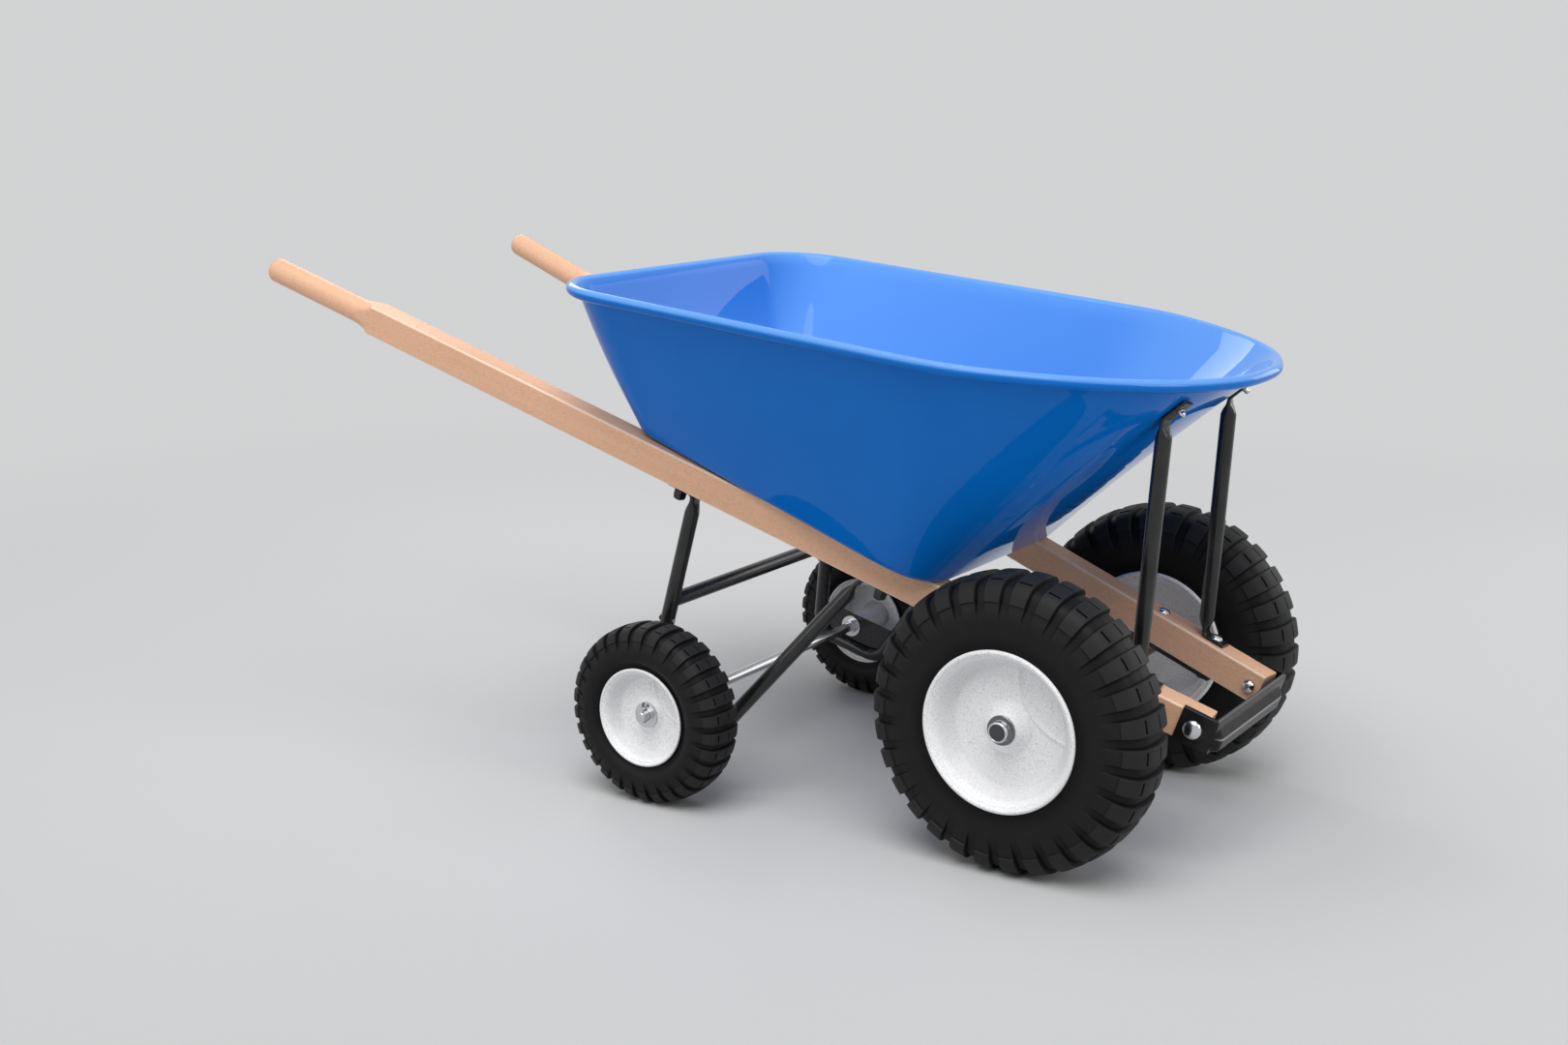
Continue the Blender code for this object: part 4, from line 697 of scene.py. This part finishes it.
def make_cap(word, side, finish):
    node = "front_axle_cap_" + word
    low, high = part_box(node)
    foot = low[1] if side > 0 else high[1]
    profile = cap_profile()
    count = len(profile)
    points = []
    for i in range(CAP_STEPS):
        turn = math.tau * i / CAP_STEPS
        points += [(r * math.cos(turn), side * h, r * math.sin(turn)) for r, h in profile]
    ends = [tuple(i * count + k for i in range(CAP_STEPS)) for k in (0, count - 1)]
    faces = ends + grid_faces(CAP_STEPS, count, rows_meet=True)
    obj = drawn(node + "_surface", points, faces)
    obj.data.transform(Matrix.Translation((front_axle_at.x, foot, front_axle_at.z)))
    face_outward(obj)
    shade(obj, ROUND_ANGLE)
    stand_for(obj, node, finish)


cap_finish = cap_steel(CAP_RADIUS, CAP_DARK_RADIUS)
for word, side in SIDES.items():
    make_cap(word, side, cap_finish)


# %% [markdown]
# ## Tyres
# The tread is one block repeated thirty times round the wheel. The block has a flat crown that
# three short slots cut, a small step on its shoulder, and flanks that fade into a smooth side wall.
# Thirty copies by hand would drift, and a displaced ring would need a very fine grid for its crisp
# edges. So one pitch is drawn with grid lines along those edges, and a node tree turns it.

# %% A smooth line through a few points
def smooth_line(points, per_span):
    """Catmull-Rom points through the given (radius, width) pairs."""
    padded = [points[0]] + list(points) + [points[-1]]
    line = []
    for a, b, c, d in zip(padded, padded[1:], padded[2:], padded[3:]):
        for i in range(per_span):
            t = i / per_span
            line.append(tuple(
                0.5 * (2 * q + (r - p) * t + (2 * p - 5 * q + 4 * r - s) * t * t
                       + (3 * q - p - 3 * r + s) * t ** 3)
                for p, q, r, s in zip(a, b, c, d)))
    line.append(tuple(points[-1]))
    return line


def at_distance(line, distance):
    """The point and the unit direction of a line at a distance from its start."""
    for a, b in zip(line, line[1:]):
        step = math.dist(a, b)
        if distance <= step or b is line[-1]:
            t = distance / step
            way = ((b[0] - a[0]) / step, (b[1] - a[1]) / step)
            return (a[0] + (b[0] - a[0]) * t, a[1] + (b[1] - a[1]) * t), way
        distance -= step


# %% [markdown]
# Places across the tread are distances from its middle line, and places round it are degrees from
# the lug's middle. The shares are of the way to the bead: the shoulder's step, the place where the
# lugs have faded out, and the outer slots.

# %% Where the tread's grid lines lie
LUGS = 30
LUG_HALF = 3.6
SLOT_HALF = 2.5
STEP_SHARE = 0.50
FADE_SHARE = 0.745
SLOT_SHARE = 0.239


def tread_columns():
    """Degrees from the lug's middle, how far each column is down, and how much painted light it gets."""
    half = [(0.0, 0.0, 1.0), (1.3, 0.0, 1.0), (SLOT_HALF, 0.0, 1.0), (SLOT_HALF + 0.12, 0.0, 1.0),
            (3.1, 0.0, 1.0), (3.45, 0.0, 1.0), (LUG_HALF, 0.10, 0.7), (3.95, 1.0, 0.0),
            (4.3, 1.0, 0.15), (5.0, 1.0, 0.42), (180 / LUGS, 1.0, 0.42)]
    return [(-angle, down, painted_lit) for angle, down, painted_lit in half[:0:-1]] + half


def tread_rows(length, slot_half):
    """Distances from the crown to the bead, each with the lug's step and the slot's share."""
    step = STEP_SHARE * length
    fade = FADE_SHARE * length
    slot = SLOT_SHARE * length
    edge = slot_half * 0.25
    rows = [(0.0, 0, 1), (slot_half, 0, 1), (slot_half + edge, 0, 0)]
    rows += [(slot * k / 5, 0, 0) for k in range(1, 5)]
    rows += [(slot - slot_half - edge, 0, 0), (slot - slot_half, 0, 1), (slot, 0, 1),
             (slot + slot_half, 0, 1), (slot + slot_half + edge, 0, 0)]
    rows += [(slot + (step - slot) * k / 7, 0, 0) for k in range(1, 7)]
    rows += [(step - edge, 0, 0), (step, 0.15, 0), (step + 1.5 * edge, 1, 0)]
    rows += [(step + (fade - step) * k / 9, 1, 0) for k in range(1, 10)]
    rows += [(fade + (length - fade) * k / 12, 1, 0) for k in range(1, 13)]
    return sorted(rows), step, fade


# %% One pitch of the tread, as a strip from bead to bead
SHOULDER_STEP = 0.42
SLOT_DEPTH = 0.9
# Painted light on the side wall: WALL_TONE by the bead, and BEAD_TONE more on the bulge.
WALL_TONE = 0.05
BEAD_TONE = 0.40


def ease01(value):
    """0 below 0, 1 above 1 and smooth between them."""
    value = min(max(value, 0.0), 1.0)
    return value * value * (3 - 2 * value)


def tread_pitch(name, section, seat, tread_depth, slot_half):
    line = smooth_line(section, 12)
    length = sum(math.dist(a, b) for a, b in zip(line, line[1:]))
    rows, step, fade = tread_rows(length, slot_half)
    columns = tread_columns()
    both = [(-distance, stepped, slotted) for distance, stepped, slotted in rows[:0:-1]] + rows
    points = []
    painted_rubber_light = []
    for distance, stepped, slotted in both:
        (radius, width), way = at_distance(line, abs(distance))
        away = 1 - ease01((abs(distance) - step) / (fade - step))
        groove = tread_depth * away
        shoulder = SHOULDER_STEP * tread_depth * away * stepped
        # Painted light: the side wall is paler on its bulge and darker by the bead.
        wall = WALL_TONE + BEAD_TONE * (1 - ease01((abs(distance) / length - 0.80) / 0.18))
        for angle, down, painted_lit in columns:
            drop = shoulder + (groove - shoulder) * down
            # Painted light and shade: lug tops paler, groove corners and the shoulder's step darker.
            tone = painted_lit * (1 - 0.35 * stepped)
            # Painted shade: the slots are painted darkest.
            if slotted and abs(angle) <= SLOT_HALF:
                drop = max(drop, SLOT_DEPTH * tread_depth)
                tone = 0.0
            painted_rubber_light.append(wall + (tone - wall) * away)
            r = radius - drop * way[1]
            y = width + drop * way[0]
            turn = math.radians(angle)
            y = y if distance >= 0 else -y
            points.append((r * math.cos(turn), y, r * math.sin(turn)))
    bead_width = at_distance(line, both[-1][0])[0][1]
    turns = [math.radians(angle) for angle, down, painted_lit in columns]
    near, far = ([(seat * math.cos(turn), width, seat * math.sin(turn)) for turn in turns]
                 for width in (-bead_width, bead_width))
    under = [WALL_TONE] * len(columns)
    faces = grid_faces(len(both) + 2, len(columns), rows_meet=True)
    return drawn(name, near + points + far, faces, "painted_rubber_light", under + painted_rubber_light + under)


# %% [markdown]
# The tree below puts one point for each lug, turns a copy of the pitch to it, joins the copies and
# welds the seams. All four tyres use it, with the count as an input.

# %% The node tree that turns a pitch into a ring
def turned_ring_tree():
    tree = bpy.data.node_groups.new("turn_pitch_into_ring", "GeometryNodeTree")
    for name, kind in (("Pitch", "Geometry"), ("Copies", "Int"), ("Weld Distance", "Float"),
                       ("Finish", "Material")):
        tree.interface.new_socket(name=name, in_out="INPUT", socket_type="NodeSocket" + kind)
    tree.interface.new_socket(name="Ring", in_out="OUTPUT", socket_type="NodeSocketGeometry")
    w = Web(tree)
    pitch, copies, weld, finish = (Wire(w, socket) for socket in
                                   tree.nodes.new("NodeGroupInput").outputs[:4])
    spots = w.add("GeometryNodePoints", {}, {"Count": copies})
    index = w.add("GeometryNodeInputIndex", {}, {})
    turn = w.add("ShaderNodeCombineXYZ", {}, {"Y": index.math("DIVIDE", index, copies) * math.tau})
    turned = w.add("GeometryNodeInstanceOnPoints", {},
                   {"Points": spots, "Instance": pitch, "Rotation": turn})
    solid = w.add("GeometryNodeRealizeInstances", {}, {0: turned})
    welded = w.add("GeometryNodeMergeByDistance", {}, {"Geometry": solid, "Distance": weld})
    ring = w.add("GeometryNodeSetMaterial", {}, {"Geometry": welded, "Material": finish})
    w.fill(tree.nodes.new("NodeGroupOutput"), {0: ring})
    return tree


def set_inputs(modifier, values):
    """Sets a node tree's inputs by their sockets' identifiers."""
    for item in modifier.node_group.interface.items_tree:
        if item.item_type == "SOCKET" and item.in_out == "INPUT" and item.name in values:
            modifier[item.identifier] = values[item.name]


ring_tree = turned_ring_tree()
print("nodes in the ring's tree:", len(ring_tree.nodes))

# %% Four tyres
TYRE_ANGLE = 28
SEAM_WELD = 0.00002


def tyre_section(outer, half_width, seat, flange, half_bead):
    """The tyre's outline from the middle of its tread to its bead."""
    depth = outer - seat
    shares = ((0, 0), (0.03, 0.50), (0.14, 0.82), (0.40, 1), (0.66, 0.995))
    return [(outer - down * depth, half_width * out) for down, out in shares] + [
        (flange + 0.004, half_bead * 0.985), (flange - 0.002, half_bead * 0.97)]


def make_tyre(node, section, seat, tread_depth, slot_half, first_lug):
    """A tyre whose first lug stands at an angle in degrees, as on the near wheels."""
    obj = tread_pitch(node + "_surface", section, seat, tread_depth, slot_half)
    ring = obj.modifiers.new("ring", "NODES")
    ring.node_group = ring_tree
    set_inputs(ring, {"Copies": LUGS, "Weld Distance": SEAM_WELD, "Finish": material_for(node)})
    apply_modifiers(obj)
    turn = Matrix.Rotation(-math.radians(first_lug), 4, "Y")
    obj.data.transform(Matrix.Translation(wheel_centres[body_of_node[node]]) @ turn)
    face_outward(obj)
    shade(obj, TYRE_ANGLE)
    stand_for(obj, node)


FRONT_TYRE = tyre_section(outer=0.2025, half_width=0.053, seat=0.1013, flange=0.1097,
                          half_bead=0.0525)
REAR_TYRE = tyre_section(outer=0.1318, half_width=0.0395, seat=0.0655, flange=0.0723,
                         half_bead=0.0332)
for word in SIDES:
    make_tyre("front_tyre_" + word, FRONT_TYRE, seat=0.1017, tread_depth=0.0060,
              slot_half=0.0013, first_lug=-0.9)
    make_tyre("rear_tyre_" + word, REAR_TYRE, seat=0.0659, tread_depth=0.0044,
              slot_half=0.0010, first_lug=7.0)


# %% [markdown]
# ## Rims
# A rim is pressed from sheet: a rounded lip, a deep bowl and a cone that rises to the hub. One
# curved rib, which bulges towards the hub, is pressed into the bowl, with a shallow pocket behind
# it. The section is turned round the axle point by point, so that the rib can lift the sheet as a
# height over angle and radius. A turned profile alone could not carry it.

# %% The section of a rim
SPAN_ROWS = 10
REAR_SIZE = 0.66
# On a front rim: the lip's radius, the seat and the well under the flange, and the shoulder.
RIM_LIP = 0.0034
SEAT_DOWN = 0.0095
WELL_DOWN = 0.022
SHOULDER_IN = 0.006
STEEP_WALL = (0.0775, 0.094)


def rim_section(flange, half_flange, bowl, hub_out, hub_in, size):
    """(radius, width) pairs of the section, which of them the rib may lift, and the painted shade of the steep
    wall.
    """
    lip = RIM_LIP * size
    lip_out = []
    for i in range(9):
        angle = math.radians(-20 + 200 * i / 8)
        lip_out.append((flange - lip + lip * math.cos(angle),
                        half_flange - lip + lip * math.sin(angle)))
    face = smooth_line([lip_out[-1]] + bowl, SPAN_ROWS)[1:]
    free = range(len(lip_out) + 3 * SPAN_ROWS, len(lip_out) + len(face) - 8)
    hub = bowl[-1][0]
    bore = 0.0129
    sheet = 0.0025
    front = lip_out + face + [(hub, hub_out), (bore, hub_out), (bore, -hub_in), (hub, -hub_in)]
    seat = flange - SEAT_DOWN * size
    well = flange - WELL_DOWN * size
    lowest = min(bowl, key=lambda point: point[1])
    boss = bowl[-5]
    back = [(hub, bowl[-2][1] - sheet), (boss[0], boss[1] - 0.0045),
            (lowest[0] + sheet, lowest[1] - sheet),
            (well - sheet, -half_flange * 0.15), (well - sheet, -half_flange * 0.35),
            (seat - sheet, -half_flange * 0.5), (seat - sheet, lip - half_flange)]
    lip_in = [(r, -y) for r, y in reversed(lip_out)]
    shoulder = half_flange - SHOULDER_IN * size
    outside = [(seat, -shoulder), (seat, -half_flange * 0.45), (well, -half_flange * 0.30),
               (well, half_flange * 0.30), (seat, half_flange * 0.45), (seat, shoulder)]
    # Painted shade: points on the bowl's steep wall, between these radii, are painted greyer.
    painted_wall_shade = [0.0] * len(lip_out) + [ease01((r / size - STEEP_WALL[0]) / 0.003)
                                    * (1 - ease01((r / size - STEEP_WALL[1]) / 0.004))
                                    for r, w in face]
    section = front + back + lip_in + outside
    return section, free, painted_wall_shade + [0.0] * (len(section) - len(painted_wall_shade))


# %% [markdown]
# The rib's middle line is part of a circle whose centre lies off the axle. The distance from that
# circle says how far a place is lifted: the rib on the line, and the pocket inside it.

# %% The arc pressed into the bowl
ARC_TOWARDS = math.radians(36.9)
ARC_CENTRE = 0.139
ARC_RADIUS = 0.099
RIB_HEIGHT = 0.0036
RIB_HALF = 0.0020
POCKET_DEPTH = 0.0014
POCKET_EDGE = 0.005


def arc_lift(radius, angle, size):
    """How far the pressed arc moves the sheet outward at a place on the bowl."""
    away = ARC_CENTRE * size
    x = radius * math.cos(angle) - away * math.cos(ARC_TOWARDS)
    y = radius * math.sin(angle) - away * math.sin(ARC_TOWARDS)
    off = math.hypot(x, y) - ARC_RADIUS * size
    rib = RIB_HEIGHT * size * math.exp(-(off / (RIB_HALF * size)) ** 2)
    edge = POCKET_EDGE * size
    pocket = POCKET_DEPTH * size * (1 - ease01((off + edge) / edge))
    return (rib - pocket) * (1 - ease01((radius / size - 0.078) / 0.008))


# %% Four rims
RIM_STEPS = 240


def make_rim(node, side, section, free, painted_wall_shade, size):
    points = []
    for i in range(RIM_STEPS):
        angle = math.tau * i / RIM_STEPS
        for k, (radius, width) in enumerate(section):
            lift = arc_lift(radius, angle, size) if k in free else 0.0
            points.append((radius * math.cos(angle), side * (width + lift),
                           radius * math.sin(angle)))
    faces = grid_faces(RIM_STEPS, len(section), rows_meet=True, columns_meet=True)
    obj = drawn(node + "_surface", points, faces, "painted_wall_shade", painted_wall_shade * RIM_STEPS)
    face_outward(obj)
    obj.data.transform(Matrix.Translation(wheel_centres[body_of_node[node]]))
    shade(obj, ROUND_ANGLE)
    stand_for(obj, node)


front_bowl = [(0.1000, 0.0507), (0.0982, 0.0465), (0.0955, 0.0400), (0.0905, 0.0310),
              (0.0850, 0.0235), (0.0805, 0.0204), (0.0750, 0.0197), (0.0600, 0.0208),
              (0.0450, 0.0222), (0.0365, 0.0236), (0.0325, 0.0275), (0.0262, 0.0335),
              (0.0222, 0.0378), (0.0205, 0.0395)]
rear_bowl = [(0.0655, 0.0332), (0.0642, 0.0300), (0.0622, 0.0250), (0.0590, 0.0190),
             (0.0555, 0.0135), (0.0525, 0.0110), (0.0490, 0.0102), (0.0400, 0.0104),
             (0.0310, 0.0108), (0.0262, 0.0116), (0.0238, 0.0132), (0.0215, 0.0152),
             (0.0202, 0.0162), (0.0195, 0.0165)]
front_rim = rim_section(flange=0.1097, half_flange=0.0563, bowl=front_bowl, hub_out=0.0405,
                        hub_in=0.0405, size=1.0)
rear_rim = rim_section(flange=0.0723, half_flange=0.0370, bowl=rear_bowl, hub_out=0.0175,
                       hub_in=0.0662, size=REAR_SIZE)
for word, side in SIDES.items():
    make_rim("front_rim_" + word, side, *front_rim, 1.0)
    make_rim("rear_rim_" + word, side, *rear_rim, REAR_SIZE)


# %% [markdown]
# ## Tray
# The tray is drawn from one steel sheet: a sloping floor with rounded corners, walls that lean out,
# and a rim that curls over a full roll. Lofting between the rim's outline and the floor's outline
# gives the walls, and the same column of points carries on round the roll at the top and the fold
# at the bottom. Only the left half is drawn and then mirrored, and the thickness comes last.

# %% The two outlines that the walls run between, from above
# Measured from the front axle. Both run from 0 in the middle of the back to 5 at the nose.
RIM_CORNER_AT = (-0.6209, 0.2173)
RIM_CORNER = 0.104
RIM_SIDE_END = (-0.073, 0.3386)
NOSE_REACH = 0.2895
NOSE_TURN = 70
FLOOR_CORNER_AT = (-0.616, 0.177)
FLOOR_CORNER = 0.035
FLOOR_NOSE_AT = (-0.225, 0.147)
FLOOR_NOSE = 0.065
EVEN = 0.6


def corner_arc(at, radius, degrees):
    turn = math.radians(degrees)
    return (at[0] + radius * math.cos(turn), at[1] + radius * math.sin(turn))


def back_and_side(u, at, radius, end):
    """Half of the back up to 1, its corner up to 2 and the straight side up to 3."""
    if u < 1:
        return (at[0] - radius, at[1] * u)
    if u < 2:
        return corner_arc(at, radius, 180 - 90 * (u - 1))
    foot = at[1] + radius
    return (at[0] + (end[0] - at[0]) * (u - 2), foot + (end[1] - foot) * (u - 2))


def rim_outline(u):
    """The roll's middle line."""
    if u < 3:
        return back_and_side(u, RIM_CORNER_AT, RIM_CORNER, RIM_SIDE_END)
    swing = math.radians(NOSE_TURN * (u - 3) ** EVEN if u < 4 else
                         NOSE_TURN + (90 - NOSE_TURN) * (u - 4))
    return (RIM_SIDE_END[0] + NOSE_REACH * math.sin(swing) ** 1.667,
            RIM_SIDE_END[1] * max(math.cos(swing), 0.0) ** 0.847)


def floor_outline(u):
    """The floor's corner line."""
    if u < 3:
        side_end = (FLOOR_NOSE_AT[0], FLOOR_NOSE_AT[1] + FLOOR_NOSE)
        return back_and_side(u, FLOOR_CORNER_AT, FLOOR_CORNER, side_end)
    if u < 4:
        return corner_arc(FLOOR_NOSE_AT, FLOOR_NOSE, 90 - 90 * (u - 3) ** EVEN)
    return (FLOOR_NOSE_AT[0] + FLOOR_NOSE, FLOOR_NOSE_AT[1] * (5 - u))


def outward(outline, u):
    if u in (0, 5):
        return Vector((-1.0 if u == 0 else 1.0, 0, 0))
    a = outline(u - 0.01)
    b = outline(u + 0.01)
    return Vector((a[1] - b[1], b[0] - a[0], 0)).normalized()


# %% One column of the sheet's outer face, from the curled edge to the floor
RIM_HEIGHT = 0.6655
RIM_FALL = 0.0924
FLOOR_RISE = 0.2903
FLOOR_SLOPE = math.tan(HANDLE_SLOPE)
ROLL_RADIUS = 0.0065
ROLL_END = math.radians(-75)
FOLD_REACH = 0.012
BACK_BELLY = 0.005


def tray_column(u):
    x, y = rim_outline(u)
    roll = Vector((x, y, RIM_HEIGHT - RIM_FALL * x))
    out = outward(rim_outline, u)
    x, y = floor_outline(u)
    corner = Vector((x, y, FLOOR_RISE - FLOOR_SLOPE * x))
    inward = -outward(floor_outline, u)
    inward.z = -inward.x * FLOOR_SLOPE
    inward.normalize()
    rise = roll - corner
    start = math.pi - math.atan2(rise.dot(out), rise.z)
    column = []
    for i in range(17):
        angle = ROLL_END + (start - ROLL_END) * i / 16
        spoke = out * math.cos(angle) + Vector((0, 0, 1)) * math.sin(angle)
        column.append(roll + spoke * ROLL_RADIUS)
    top = column[-1]
    fold_top = corner + (top - corner).normalized() * FOLD_REACH
    fold_end = corner + inward * FOLD_REACH
    belly = BACK_BELLY * ease01((-0.60 - x) / 0.05)
    for i in range(1, 14):
        t = i / 14
        column.append(top.lerp(fold_top, t) + out * belly * math.sin(math.pi * t))
    for i in range(9):
        t = i / 8
        column.append(fold_top * (1 - t) ** 2 + corner * 2 * t * (1 - t) + fold_end * t ** 2)
    return column


# %% The tray
TRAY_SHEET = 0.002
COLUMNS_OF_PART = (4, 14, 44, 40, 12)
SOFT_ROUNDS = 24


def soften_nose(columns, values):
    """Draws columns towards their neighbours where the straight side turns into the nose."""
    shares = [0.5 * ease01((u - 2.3) / 0.3) * ease01((4.6 - u) / 0.4) for u in values]
    for turn in range(SOFT_ROUNDS):
        before = [column[:] for column in columns]
        for i in range(1, len(columns) - 1):
            for row, point in enumerate(before[i]):
                middle = (before[i - 1][row] + before[i + 1][row]) / 2
                columns[i][row] = point.lerp(middle, shares[i])


def make_tray():
    values = [0.0] + [part + (i + 1) / n for part, n in enumerate(COLUMNS_OF_PART)
                      for i in range(n)]
    columns = [tray_column(u) for u in values]
    soften_nose(columns, values)
    height = len(columns[0])
    points = [point for column in columns for point in column]
    floor = tuple(i * height + height - 1 for i in range(len(columns)))
    obj = drawn("tray_surface", points, grid_faces(len(columns), height) + [floor])
    face_outward(obj, last_down=True)
    sheet_from_half(obj, TRAY_SHEET, -1.0)
    apply_modifiers(obj)
    obj.data.transform(Matrix.Translation((front_axle_at.x, 0, 0)))
    # Painted light: 1 on faces that look up, for the enamel's painted paler top.
    upward = [ease01((vertex.normal.z - 0.1) / 0.4) for vertex in obj.data.vertices]
    obj.data.attributes.new("painted_top_light", "FLOAT", "POINT").data.foreach_set("value", upward)
    shade(obj, ROUND_ANGLE)
    stand_for(obj, "tray")


make_tray()


# %% [markdown]
# ## Floor, light and camera
# The barrow stands on a plain pale floor that fades into an equally pale room, so nothing but its
# own shadow is behind it. Blending the floor into a glow at a distance is the simplest way to lose
# the horizon. The room looks brighter than it lights, so the lamps give the shapes.

# %% A pale floor that fades into the room
ROOM = (0.645, 0.65, 0.655)
FLOOR = (0.575, 0.58, 0.585)
FLOOR_REACH = 60.0
FADE = (1.1, 3.2)


def make_floor():
    corners = [(x * FLOOR_REACH, y * FLOOR_REACH, 0)
               for x, y in ((-1, -1), (1, -1), (1, 1), (-1, 1))]
    floor = drawn("floor", corners, [(0, 1, 2, 3)])
    f = Finish("pale_floor")
    f.done((*FLOOR, 1), 0.85, {"Specular IOR Level": 0.1})
    where = f.add("ShaderNodeTexCoord", {}, {}, "Object")
    distance = f.add("ShaderNodeVectorMath", {"operation": "LENGTH"}, {0: where}, "Value")
    glow = f.add("ShaderNodeEmission", {}, {"Color": (*ROOM, 1), "Strength": 1.0})
    near = Wire(f, f.shader.outputs[0])
    share = f.ease(distance, *FADE) * f.ray_is_seen()
    faded = f.add("ShaderNodeMixShader", {}, {0: share, 1: near, 2: glow})
    f.fill(f.tree.nodes["Material Output"], {"Surface": faded})
    floor.data.materials.append(f.material)


make_floor()


# %% The room's light
ROOM_LIGHT = 0.35


def make_room():
    world = bpy.data.worlds.new("pale_room")
    world.use_nodes = True
    bpy.context.scene.world = world
    w = Web(world.node_tree)
    light = w.add("ShaderNodeBackground", {}, {"Color": (*ROOM, 1), "Strength": ROOM_LIGHT})
    seen = w.add("ShaderNodeBackground", {}, {"Color": (*ROOM, 1), "Strength": 1.0})
    both = w.add("ShaderNodeMixShader", {}, {0: w.ray_is_seen(), 1: light, 2: seen})
    w.fill(w.tree.nodes["World Output"], {"Surface": both})


make_room()


# %% [markdown]
# Six lamps give the shapes. A far one with a wide spread acts as a lit ceiling. One ahead of the
# barrow and one at the camera's left draw the long highlights. A card beyond the far wheels lights
# their inner sides, a lamp over the tray its inside, and one from the far rear the handles.

# %% The lamps
CEILING_FROM = (0.16, -0.42, 0.89)
CEILING_STRENGTH = 2.1
CEILING_SPREAD = 45
# Name, place, what it is aimed at, width and height in metres, watts.
SOFT_LAMPS = (
    ("front_light", (3.2, -0.4, 1.5), (-0.3, 0.0, 0.5), 1.2, 1.2, 18),
    ("far_card", (1.6, 2.4, 1.0), (0.0, 0.0, 0.3), 1.2, 1.0, 8),
    ("tray_light", (0.1, -0.2, 2.0), (-0.05, 0.0, 0.6), 1.0, 0.7, 7),
    ("left_front_light", (-1.6, -3.2, 1.7), (0.1, 0.0, 0.30), 1.8, 1.8, 17),
    ("back_left_light", (-2.0, 1.3, 1.9), (0.4, 0.0, 0.6), 1.0, 1.0, 12),
)


def soft_lamp(name, at, aim, width, height, power):
    data = bpy.data.lights.new(name, "AREA")
    data.shape = "RECTANGLE"
    data.size = width
    data.size_y = height
    data.energy = power
    lamp = new_object(name, data)
    lamp.location = at
    lamp.rotation_euler = (Vector(aim) - Vector(at)).to_track_quat("-Z", "Y").to_euler()


ceiling = bpy.data.lights.new("ceiling_light", "SUN")
ceiling.energy = CEILING_STRENGTH
ceiling.angle = math.radians(CEILING_SPREAD)
turn = Vector(CEILING_FROM).to_track_quat("Z", "Y").to_euler()
new_object("ceiling_light", ceiling).rotation_euler = turn
for lamp in SOFT_LAMPS:
    soft_lamp(*lamp)
print("lamps:", 1 + len(SOFT_LAMPS))


# %% [markdown]
# The camera's place is measured from the front axle. Its angles and focal length were fitted to
# points that the picture and the barrow share.

# %% The camera where the photograph was taken
FOCAL_PIXELS = 2013.077
PHOTO_WIDTH = 1620
SENSOR_WIDTH = 36.0


def make_camera():
    yaw = math.radians(-33.676)
    pitch = math.radians(-12.992)
    roll = math.radians(0.086)
    level = math.cos(pitch)
    ahead = Vector((math.sin(yaw) * level, math.cos(yaw) * level, math.sin(pitch)))
    right = Vector((math.cos(yaw), -math.sin(yaw), 0.0))
    up = right.cross(ahead)
    right, up = (right * math.cos(roll) + up * math.sin(roll),
                 up * math.cos(roll) - right * math.sin(roll))
    data = bpy.data.cameras.new("camera")
    data.sensor_width = SENSOR_WIDTH
    data.lens = FOCAL_PIXELS / PHOTO_WIDTH * SENSOR_WIDTH
    camera = new_object("camera", data)
    turn = Matrix((right, up, -ahead)).transposed().to_4x4()
    place = Vector((1.0899 + front_axle_at.x, -2.4259, 1.0279))
    camera.matrix_world = Matrix.Translation(place) @ turn
    bpy.context.scene.camera = camera


make_camera()
bpy.context.scene.view_settings.view_transform = "Standard"
